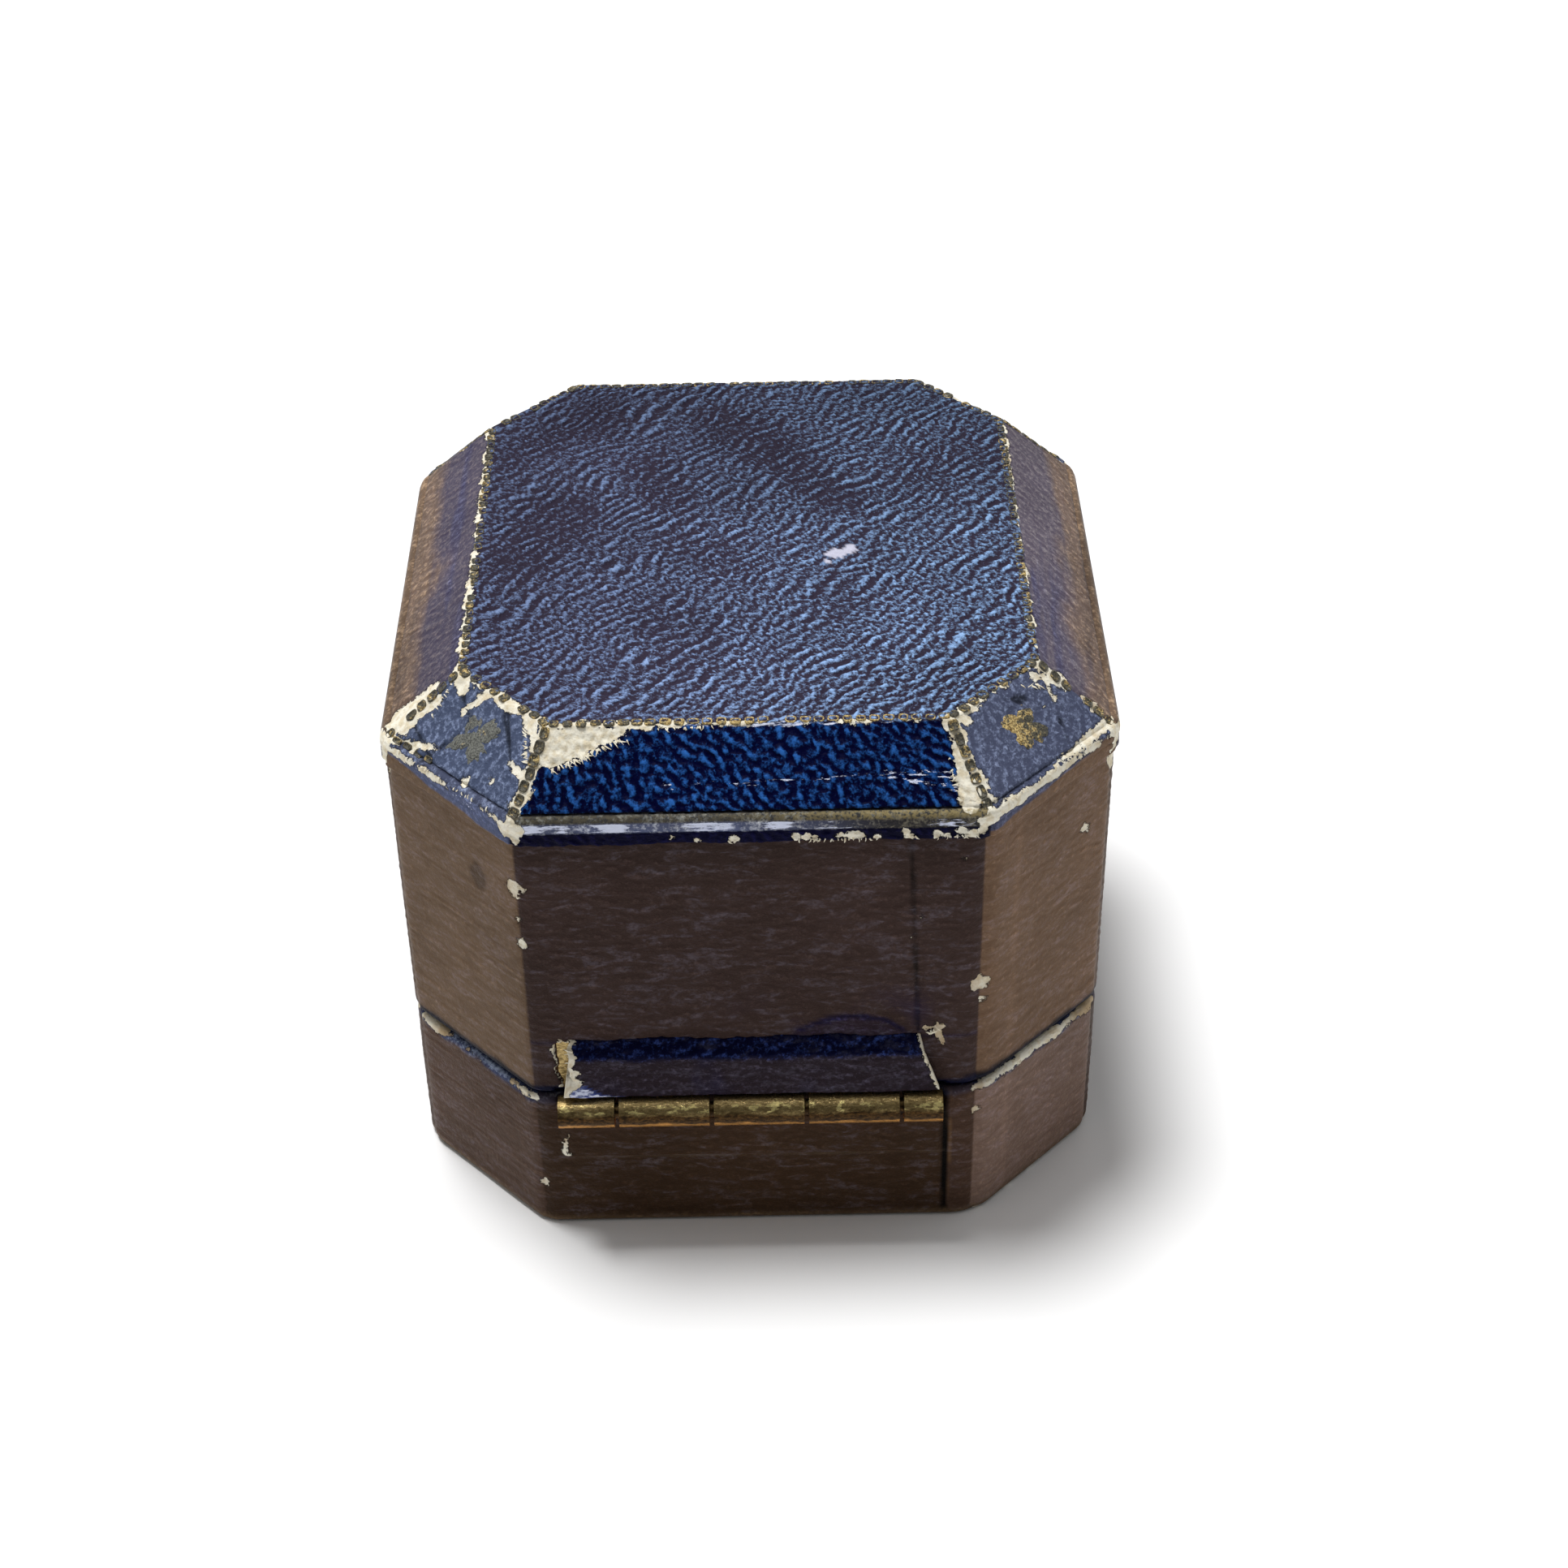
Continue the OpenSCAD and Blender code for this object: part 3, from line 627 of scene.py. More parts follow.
def top_wear(p):
    """How far inside the worn patches of the lid's top each point lies, in mm."""
    tips = [(*corner, BEVEL_Z - 0.3, r) for corner, r in zip(octagon(SKIRT), TIP_WEAR)]
    holes = [(*bevel_point(k, along, down), r) for k, along, down, r in BEVEL_SPOTS]
    chips = [(x, SKIRT[1], SKIRT_Z0 + CHIP_Z + z, r) for x, z, r in SKIRT_CHIPS]
    edges = [edge_wear(p, BORDERS, BORDER_WEAR, 1.1, 3, 0.42), edge_wear(p, RIDGES, RIDGE_WEAR, 0.9, 5, 0.5),
             edge_wear(p, LOWERS, LOWER_WEAR, 1.3, 7, 0.36)]
    wedges = [wedge(p, bevel_point(k, *a), bevel_point(k, *b), wide_a, wide_b, seed)
              for k, a, b, wide_a, wide_b, seed in WORN_WEDGES]
    return np.maximum.reduce(edges + wedges + [spots(p, tips, 9), spots(p, holes, 18), spots(p, chips, 19)])


def creases(p, face):
    """For each crease, the distance of every point from it, and which points are on its facet."""
    for k, a, b in CREASES:
        d, _ = segment(p, bevel_point(k, *a), bevel_point(k, *b))
        yield abs(d + 0.3 * noise3(p, 0.9, 35)), face == k


def top_base_colours(p, kind, face):
    """Valley and ridge colours of the panel, bevels, groove, fillet, bright band and skirt."""
    side, on_panel = np.where(face < 8, face, 0), face == PANEL_FACE
    low, high = (linear(np.array([pair[i] for pair in PAINT["bevel"]])) for i in (0, 1))
    valley, ridge = low[side], high[side]
    valley[on_panel], ridge[on_panel] = linear(PAINT["panel"][0]), linear(PAINT["panel"][1])
    skirt_colour = side_colour(PAINT["skirt"], side)
    skirt = np.isin(kind, ("skirt", "under"))
    # the skirt's ridge colour is its valley colour lightened, a painted highlight on the grain
    valley[skirt], ridge[skirt] = skirt_colour[skirt], skirt_colour[skirt] * 2.0 + 0.003
    corner, long, end = (test[:, None] for test in (face % 2 == 1, np.isin(face, (RIGHT, LEFT)), face % 4 == 2))
    # painted highlight: a silver-blue band of light along the rounded top of the skirt on the rear and front, fading
    # towards -X
    shine_share = (step(p[:, 0], -9, 2) * (0.8 + 0.35 * rough3(p, 2.2, 95)))[:, None].clip(0, 1)
    band = dye((linear((52, 50, 52)), linear((128, 122, 106))), shine_share, linear((92, 100, 132)), linear((222, 228, 244)))
    shine = kind == "shine"
    valley[shine] = np.where(end, band[0], skirt_colour)[shine]
    ridge[shine] = np.where(end, band[1], skirt_colour * 2.4 + 0.01)[shine]
    corner_low, corner_high = linear((74, 80, 104)), linear((146, 158, 190))
    # the groove's colours are darker than the fillet's, on the corner sides a darkened copy of them, as painted shade
    # in the groove
    for name, share, long_low, end_low, long_high, end_high in (
            ("fillet", 1.0, (92, 76, 64), (60, 60, 60), (160, 138, 112), (142, 144, 140)),
            ("groove", 0.7, (74, 60, 54), (8, 7, 12), (128, 108, 92), (46, 44, 42))):
        here = kind == name
        valley[here] = np.where(corner, corner_low * share, np.where(long, linear(long_low), linear(end_low)))[here]
        ridge[here] = np.where(corner, corner_high * share, np.where(long, linear(long_high), linear(end_high)))[here]
    return valley, ridge


def top_paint(p, kind, face, along):
    """The colours of the lid's top with all that changes them: the painted reflection on the long bevels, dye clouds,
    the panel's painted ridge highlight, painted shade in the creases, the chip and fading.
    """
    valley, ridge = top_base_colours(p, kind, face)
    on_panel, long = face == PANEL_FACE, np.isin(face, (RIGHT, LEFT))
    # the long bevels carry a painted brown reflection in their outer half, and violet streaks above it
    bevel_streaks = rough3(p * np.array([1.0, 0.10, 1.0]), 0.9, 121, 4)
    down = (TOP_Z - p[:, 2]) / (TOP_Z - BEVEL_Z)
    outer_reflection = step(down + 0.13 * rough3(p, 4.0, 99) + 0.16 * bevel_streaks, 0.38, 0.72)
    outer_reflection = outer_reflection * np.isin(kind, ("bevel", "groove", "fillet")) * np.where(face == LEFT, 0.78, 0.85)
    outer_reflection = (outer_reflection * long)[:, None]
    tone = np.clip(1 + 0.45 * bevel_streaks, 0.35, 1.7)[:, None]
    valley, ridge = dye((valley, ridge), outer_reflection, linear((110, 90, 74)) * tone, linear((178, 150, 122)) * tone)
    violet = (step(bevel_streaks, -0.1, 0.8) * long * (kind == "bevel"))[:, None] * (1 - outer_reflection) * 0.8
    valley, ridge = dye((valley, ridge), violet, linear((58, 56, 84)), linear((104, 108, 146)))
    # broad unevenness in the dye
    cloud = rough3(p, 9.0, 41)[:, None]
    valley, ridge = valley * np.clip(1 + 0.22 * cloud, 0.5, 1.6), ridge * np.clip(1 + 0.20 * cloud, 0.5, 1.6)
    # the panel's ridge colour, a painted highlight, is lighter towards +Y and towards -X; its valleys are slightly
    # lighter towards +Y
    towards, across = step(p[on_panel, 1], -14, 18)[:, None], step(p[on_panel, 0], 16, -14)[:, None]
    ridge[on_panel] *= (0.80 + 0.46 * towards) * (0.82 + 0.42 * across)
    ridge[on_panel] *= 1 + np.array([0.03, -0.03, 0.0]) - across * [0.10, -0.04, 0.01]
    valley[on_panel] *= (0.92 + 0.14 * towards) * (1.02 - 0.04 * across)
    # painted shade darkens the creases
    for d, here in creases(p, face):
        valley, ridge = dye((valley, ridge), (0.75 * step(d, 0.22, 0.04) * here)[:, None], 0.004, 0.012)
    pale = (spots(p, [(x, y, TOP_Z, r) for x, y, r in PANEL_CHIP], 21) > -0.02) & on_panel
    valley[pale] = ridge[pale] = linear((196, 196, 214))
    # below a slanting line the corner skirts have faded to the brown of the sides
    slant = np.where(face == 1, 0.25 + 1.5 * along, np.where(face == 3, 1.15 - 1.3 * along, 9))
    faded = step(BEVEL_Z - p[:, 2] - slant + 0.14 * rough3(p, 1.6, 145), -0.05, 0.12)
    faded = (faded * np.isin(kind, ("skirt", "shine")) * np.isin(face, (1, 3)))[:, None]
    brown = side_colour(PAINT["lid"], np.where(face < 8, face, 0))
    return dye((valley, ridge), faded, brown, brown * 1.5)


def top_gleam(p, kind, face):
    """Where the lid's top catches the light: scratches, the rear border and the bright band."""
    gleam = [np.full(len(p), -1.0)]
    wander = np.array([0, 0, 0.09]) * np.sin(p[:, :1] * 1.3)
    for along0, down0, along1, down1, strength in SCRATCHES:
        d, _ = segment(p + wander, bevel_point(REAR, along0, down0), bevel_point(REAR, along1, down1))
        gleam.append(strength - 0.07 - 4.2 * d)
    border, _ = segment(p, *BORDERS[REAR])
    gleam.append(0.30 - 2.6 * abs(border - 0.12) - 0.5 * (p[:, 1] < PANEL[1]) - 0.05 * abs(p[:, 0] + 2))
    gleam.append(np.where(kind == "shine", 0.05 + 0.5 * noise3(p, 1.6, 97), -1.0) - 0.5 * (face != REAR)
                 - 0.35 * step(p[:, 0], -3, -9))
    return np.maximum.reduce(gleam)


def top_height(p, kind, face, grain, worn):
    """Relief of the lid's top in mm: grain, creases, worn hollows and gentle unevenness."""
    near_edge = np.minimum.reduce([segment(p, a, b)[0] for a, b in BORDERS + RIDGES + LOWERS])
    depth = np.where(np.isin(kind, ("panel", "bevel")), 0.045, np.where(kind == "skirt", 0.02, 0.008))
    height = grain * (depth * step(near_edge, 0.1, 0.8))
    crease = sum((step(d, 0.26, 0.04) - 0.45 * step(d, 0.75, 0.36)) * here for d, here in creases(p, face))
    height -= 0.11 * crease.clip(-0.6, 1) * (kind == "bevel")
    hollow = step(worn + 0.10 * rough3(p, 0.5, 51), -0.05, 0.05)
    height -= 0.07 * hollow * np.isin(kind, ("panel", "bevel", "skirt"))
    height += 0.06 * rough3(p, 5.0, 61) * (kind == "bevel")
    return np.where(kind == "under", 0, height)


def build_lid_top():
    columns, diagonal, straight = 176, 52, 158
    panel, rows = panel_grid(columns, diagonal, straight), top_rows()
    edge, flat = panel_edge(*panel.shape[:2], diagonal, straight), panel.reshape(-1, 3)
    flat_n, kinds = len(flat), np.array([kind for _, _, kind in rows])
    co, side, along = ring([row[:2] for row in rows], [straight, diagonal, columns, diagonal] * 2)
    co = soften(co, 5, (kinds != "under").astype(float))
    u = co.shape[1]
    p = np.concatenate([flat, co.reshape(-1, 3)])
    joint = np.stack([edge, flat_n + np.arange(u), flat_n + (np.arange(u) + 1) % u, np.roll(edge, -1)], 1)
    quads = np.concatenate([grid_quads(*panel.shape[:2], closed_columns=False)[:, ::-1], joint,
                            grid_quads(len(rows), u, base=flat_n)])
    kind = np.concatenate([np.full(flat_n, "panel"), np.repeat(kinds, u)])
    face = np.concatenate([np.full(flat_n, PANEL_FACE), np.tile(side, len(rows))])
    along = np.concatenate([np.zeros(flat_n), np.tile(along, len(rows))])
    grain, worn = top_grain(p, face), top_wear(p)
    valley, ridge = top_paint(p, kind, face, along)
    gold_left = 0.15 + 0.6 * step(-p[:, 0] + 2 * rough3(p, 3.0, 93), -4, 9)
    gilt = np.where((kind == "fillet") & (face % 4 == 2), gold_left, 0.0)
    for r, (shape, z, _) in enumerate(rows[:-1]):
        share = np.clip((TOP_Z - z) / (TOP_Z - BEVEL_Z), 0, 1)
        co[r] = round_corners(co[r], octagon(shape), TOP_ROUNDING * share + 1e-6)
    shaped = np.concatenate([flat, co.reshape(-1, 3)])
    shaped = shaped + normals(shaped, quads) * top_height(p, kind, face, grain, worn)[:, None]
    wave = 0.10 * rough3(p, 4.0, 71) * step(TOP_Z - p[:, 2], 4.6, 6.0)
    shaped[:, 2] += np.where(kind == "skirt", wave, 0)
    last_row = flat_n + (len(rows) - 1) * u + np.arange(u)
    grain = np.where(np.isin(kind, ("shine", "fillet", "groove")), rough3(p, 0.7, 81), grain)
    make_object("lid_top_leather_cover", shaped, [*quads, last_row], LEATHER, "lid", "morocco_leather",
                ["lid_top_leather"], grain=grain, worn=worn, valley=valley, ridge=ridge, gilt=gilt, hair=0,
                tan=step(rough3(p, 3.0, 91), 0.3, 1.0) * 0.4, gleam=top_gleam(p, kind, face))


build_lid_top()


# ---------------------------------------------------------------- gilt tooling on the lid

def tooling_material(name, bare_low, bare_high):
    n = Nodes(name)
    gold, fine, broad = n.attribute("gold"), n.noise(9, 4, 0.65), n.noise(3.1, 3, 0.6, shift=0.4)
    left = n.span(n.add(gold, n.swing(broad, 1.6)), 0.38, 0.66)
    colour = n.mix(left, n.mix(n.span(fine, 0.35, 0.65), linear(bare_low), linear(bare_high)),
                   n.mix(n.span(fine, 0.38, 0.62), linear((110, 84, 42)), linear((232, 206, 140))))
    return n.shade(base_color=colour, roughness=n.span(fine, 0.3, 0.7, 0.3, 0.6),
                   metallic=n.times(left, 0.4), normal=n.bump(n.add(fine, broad), 0.05))


TOOLING = tooling_material("gilt_tooling", (24, 21, 17), (96, 92, 74))
SMUDGED = tooling_material("smudged_tooling", (52, 52, 50), (122, 124, 116))


def stamp(centre, along, across, up, length, width, lift, rim):
    """A small rounded oblong pressed into the leather: a raised rim round a dished middle."""
    turns = np.linspace(0, 2 * math.pi, 12, endpoint=False) + math.pi / 12
    c, s = np.cos(turns), np.sin(turns)
    shape = np.stack([np.sign(c) * abs(c) ** 0.55, np.sign(s) * abs(s) ** 0.55], 1)
    rings = []
    for size, height in ((1.0, -0.12), (1.0, lift * 0.4), (0.86, lift), (1 - rim, lift * 0.8), (0.9 - rim, lift - 0.07)):
        flat = shape * size
        rings.append(centre + flat[:, :1] * along * length / 2 + flat[:, 1:] * across * width / 2 + up * height)
    rings.append((centre + up * (lift - 0.075))[None])
    co = np.concatenate(rings)
    faces = [list(q) for q in grid_quads(5, 12)[:, ::-1]]
    faces += [[48 + i, 48 + (i + 1) % 12, 60] for i in range(12)] + [list(range(12))[::-1]]
    return co, faces


def build_tooling():
    """Rows of stamped oblongs along the panel's borders and the ridges between the bevels."""
    rng = np.random.default_rng(404)
    up = np.array([0, 0, 1.0])
    facet = []
    for k in range(8):
        a, b, c = BORDERS[k][0], BORDERS[k][1], LOWERS[k][0]
        n = np.cross(b - a, c - a)
        facet.append(-n / np.linalg.norm(n) if n[2] < 0 else n / np.linalg.norm(n))
    rows = []
    for k, (a, b) in enumerate(BORDERS):
        inward = np.cross(up, (b - a) / np.linalg.norm(b - a))
        rows.append((a + inward * 0.24, b + inward * 0.24, up, 0.34 if k % 2 else 0.30, 0.02))
    pull = corner_ways(octagon(SKIRT)) * (TOP_ROUNDING * (1 / math.cos(HALF_TURN) - 1))[:, None]
    for k, (a, b) in enumerate(RIDGES):
        n = facet[k] + facet[(k - 1) % 8]
        low_end = b - (b - a) * 0.05 + np.append(pull[k], 0)
        rows.append((a, low_end, n / np.linalg.norm(n), 0.34, -0.03))
    for k in (1, 5, 7):
        a, b = LOWERS[k]
        slope = (BORDERS[k][0] + BORDERS[k][1] - a - b) / 2
        slope /= np.linalg.norm(slope)
        share = 0.62 if k == 1 else 0.06
        rows.append((a + (b - a) * 0.06 + slope * 0.75, b - (b - a) * share + slope * 0.75, facet[k], 0.25, 0.0))
    points, faces, gold = [], [], []
    for number, (a, b, n, wide, level) in enumerate(rows):
        length = np.linalg.norm(b - a)
        along = (b - a) / length
        across = np.cross(n, along)
        count = int(length / 0.82)
        for i in range(count):
            t = (i + 0.5) / count + rng.normal(0, 0.03) / count
            centre = a + (b - a) * t + across * rng.normal(0, 0.025) + n * level
            turn = rng.normal(0, 0.10)
            x_way = along * math.cos(turn) + across * math.sin(turn)
            y_way = np.cross(n, x_way)
            if rng.random() < (0.10 if number < 8 else 0.05):
                continue
            long = rng.uniform(0.56, 0.74) * (1.16 if 8 <= number < 16 else 1.0)
            co, f = stamp(centre, x_way, y_way, n, long, wide * rng.uniform(1.5, 1.95), 0.035, 0.2)
            base = sum(len(q) for q in points)
            points.append(co)
            faces += [[v + base for v in face] for face in f]
            shine = 0.28 + 0.2 * rng.random()
            if number == REAR:
                shine += 0.34 * (1 - abs(t - 0.55) * 1.6)
            gold += [shine] * len(co)
    make_object("lid_border_tooling", np.concatenate(points), faces, TOOLING, "lid", "morocco_leather", gold=gold)


def build_flowers():
    """A gilt flower of four petals in the middle of each corner facet."""
    turns = np.linspace(0, 2 * math.pi, 96, endpoint=False)
    shares = (1.0, 0.97, 0.88, 0.7, 0.5, 0.3, 0.16)
    heights = (-0.12, 0.02, 0.045, 0.075, 0.06, 0.03, 0.055)
    for k, wear, ragged in ((1, 0.12, 0.40), (3, 0.50, 0.15), (5, 0.40, 0.13), (7, 0.42, 0.13)):
        centre = bevel_point(k, 0.5, 0.46)
        along = bevel_point(k, 0.9, 0.5) - bevel_point(k, 0.1, 0.5)
        down = bevel_point(k, 0.5, 0.9) - bevel_point(k, 0.5, 0.1)
        along, down = along / np.linalg.norm(along), down / np.linalg.norm(down)
        n = np.cross(down, along)
        n = n if n[2] > 0 else -n
        reach = 1.52 * (0.52 + 0.48 * abs(np.cos(2 * (turns + math.pi / 4))) ** 0.7)
        fray = rough3(np.stack([np.cos(turns), np.sin(turns), 0 * turns + k], 1) * 2, 0.5, 500 + k)
        points = []
        for share, height in zip(shares, heights):
            r = reach * share * (1 + ragged * fray)
            vein = 0.03 * np.cos(4 * (turns + math.pi / 4)) * (share > 0.3)
            points.append(centre + np.outer(np.cos(turns) * r, along) + np.outer(np.sin(turns) * r, down)
                          + np.outer(height + vein * 0.6, n))
        points.append((centre + n * 0.07)[None])
        points = np.concatenate(points)
        last, tip = (len(shares) - 1) * 96, len(shares) * 96
        faces = [list(q) for q in grid_quads(len(shares), 96)[:, ::-1]]
        faces += [[last + i, last + (i + 1) % 96, tip] for i in range(96)] + [list(range(96))[::-1]]
        gold = wear + 0.30 * rough3(points, 1.1, 520 + k) - 0.15 * ((points - centre) @ along) * (k == 3)
        make_object(f"lid_corner_flower_{k // 2 + 1}", points, faces, SMUDGED if k == 1 else TOOLING, "lid",
                    "morocco_leather", gold=gold)


def fibre_material():
    n = Nodes("torn_fibres")
    tone = n.noise(3, 4, 0.6)
    return n.shade(base_color=n.mix(n.span(tone, 0.35, 0.65), CREAM[1], CREAM[0]),
                   roughness=n.span(tone, 0.3, 0.7, 0.8, 0.95), normal=n.bump(n.noise(12, 2, 0.5), 0.01))


FIBRES = fibre_material()


def build_fibres(name, body, edges, seed):
    """Frayed threads along torn edges: (a, b, way, up, count, length) for each edge."""
    rng = np.random.default_rng(seed)
    points, faces = [], []
    for a, b, way, up, count, length in edges:
        a, b, way, up = (np.asarray(v, float) for v in (a, b, way, up))
        way, up = way / np.linalg.norm(way), up / np.linalg.norm(up)
        side = np.cross(up, way)
        for _ in range(count):
            turn = rng.normal(0, 0.5)
            run = way * math.cos(turn) + side * math.sin(turn)
            wide = np.cross(up, run) * rng.uniform(0.025, 0.06)
            root = a + (b - a) * rng.random() - run * 0.15 + side * rng.normal(0, 0.06)
            size = length * rng.uniform(0.4, 1.2)
            bow = rng.uniform(0.02, 0.10)
            base = len(points) * 9
            rings = []
            for share, lift, narrow in ((0, 0.0, 1.0), (0.5, bow, 0.8)):
                spine = root + run * size * share + up * (lift + 0.02)
                rings += [spine + wide * narrow, spine - wide * narrow, spine - wide * narrow - up * 0.05,
                          spine + wide * narrow - up * 0.05]
            points.append(np.array(rings + [root + run * size + side * rng.normal(0, 0.05) + up * bow * 0.4]))
            faces += [[base + i for i in f] for f in ((3, 2, 1, 0), (0, 1, 5, 4), (1, 2, 6, 5), (2, 3, 7, 6), (3, 0, 4, 7),
                                                     (4, 5, 8), (5, 6, 8), (6, 7, 8), (7, 4, 8))]
    make_object(name, np.concatenate(points), faces, FIBRES, body, "morocco_leather", smooth=False)


def slope_up(k):
    a, b, c = bevel_point(k, 0, 0), bevel_point(k, 1, 0), bevel_point(k, 0, 1)
    n = np.cross(b - a, c - a)
    return n if n[2] > 0 else -n


def slope_down(k):
    return bevel_point(k, 0.5, 1) - bevel_point(k, 0.5, 0)


rear_up, back = slope_up(REAR), np.array([0, 1.0, 0])
build_fibres("lid_torn_fibres", "lid", [
    (bevel_point(REAR, 0.05, 0.46), bevel_point(REAR, 0.21, 0.13), (-0.5, 0.6, -0.7), rear_up, 44, 0.55),
    (bevel_point(REAR, 0.20, 0.08), bevel_point(REAR, 0.45, 0.04), slope_down(REAR), rear_up, 22, 0.28),
    (bevel_point(REAR, 0.955, 0.35), bevel_point(REAR, 0.945, 0.85), (1, 0.1, 0), rear_up, 14, 0.4),
    (bevel_point(1, 0.80, 0.06), bevel_point(1, 0.95, 0.4), (1, -0.6, -0.2), slope_up(1), 14, 0.4),
    (bevel_point(1, 0.05, 0.1), bevel_point(1, 0.14, 0.5), (-1, 1, -0.3), slope_up(1), 12, 0.4),
    (bevel_point(3, 0.15, 0.96), bevel_point(3, 0.85, 0.94), -slope_down(3), slope_up(3), 30, 0.32),
    (bevel_point(1, 0.1, 0.97), bevel_point(1, 0.9, 0.97), -slope_down(1), slope_up(1), 16, 0.28),
    (bevel_point(3, 0.7, 0.1), bevel_point(3, 0.84, 0.22), slope_down(3), slope_up(3), 8, 0.45),
    ((-2.6, SKIRT[1], SKIRT_Z0 + 0.1), (-7.4, SKIRT[1], SKIRT_Z0 + 0.1), (0, 0, -1), back, 22, 0.3),
    ((-9.0, SKIRT[1], SKIRT_Z0 + 0.2), (-13.4, SKIRT[1], SKIRT_Z0 + 0.2), (0, 0, -1), back, 14, 0.34),
    ((1.3, SKIRT[1], SKIRT_Z0 + 0.1), (0.8, SKIRT[1], SKIRT_Z0 + 0.1), (0, 0, -1), back, 4, 0.3),
    ((13.9, REAR_Y + 0.02, 28.9), (14.0, REAR_Y + 0.02, 28.2), (-1, 0, -0.1), back, 6, 0.4),
    ((FLAP_HI[0] - 1.05, FLAP_HI[1] - 0.05, FLAP_LO[2] + 0.3), (FLAP_HI[0] - 1.0, FLAP_HI[1] - 0.35, FLAP_HI[2] - 0.5),
     (1, -0.3, 0.2), back, 26, 0.55),
    ((FLAP_LO[0] + 0.2, REAR_Y + 0.05, FLAP_HI[2] + 0.5), (FLAP_LO[0] + 0.9, REAR_Y + 0.05, FLAP_HI[2] + 0.1),
     (0.3, 0, 1), back, 10, 0.5),
], 707)
build_tooling()
build_flowers()


# ---------------------------------------------------------------- lid and base sides

SIDE_COUNTS = [150, 62, 142, 62, 150, 62, 142, 62]
# How the leather rolls over a rim: its inset and its distance from the rim
ROLL = ((0.02, 0.4), (0.08, 0.24), (0.2, 0.1), (0.36, 0.02), (0.55, 0.0))


def side_band(rows):
    """A closed band round the sides from rows of (kind, inset, z): its points, faces, and each point's kind and side."""
    co, side, _ = ring([(inset(SIDES, t), z) for _, t, z in rows], SIDE_COUNTS)
    kinds = np.array([kind for kind, _, _ in rows])
    co = soften(co, 6, (kinds != "inner").astype(float))
    quads = grid_quads(len(rows), co.shape[1], closed_rows=True)
    return co.reshape(-1, 3), quads, np.repeat(kinds, co.shape[1]), np.tile(side, len(rows))


def side_paint(p, side, table, seed):
    base = side_colour(PAINT[table], side)
    cloud = rough3(p * np.array([1, 1, 0.7]), 7.0, seed)[:, None]
    valley = base * np.clip(1 + 0.16 * cloud, 0.6, 1.5)
    # a painted highlight: a soft light line along the corner side, beside the well rounded arris
    from_arris = np.linalg.norm(p[:, :2] - octagon(SIDES)[3], axis=1)
    sheen = np.exp(-((from_arris - 2.7 - 0.1 * rough3(p, 4.0, seed + 1)) / 0.3) ** 2) * (side == 3)
    valley = valley * (1 + 0.16 * sheen[:, None])
    # the ridge colour is the valley colour lightened, a painted highlight on the grain
    return valley, valley * 1.5 + 0.006


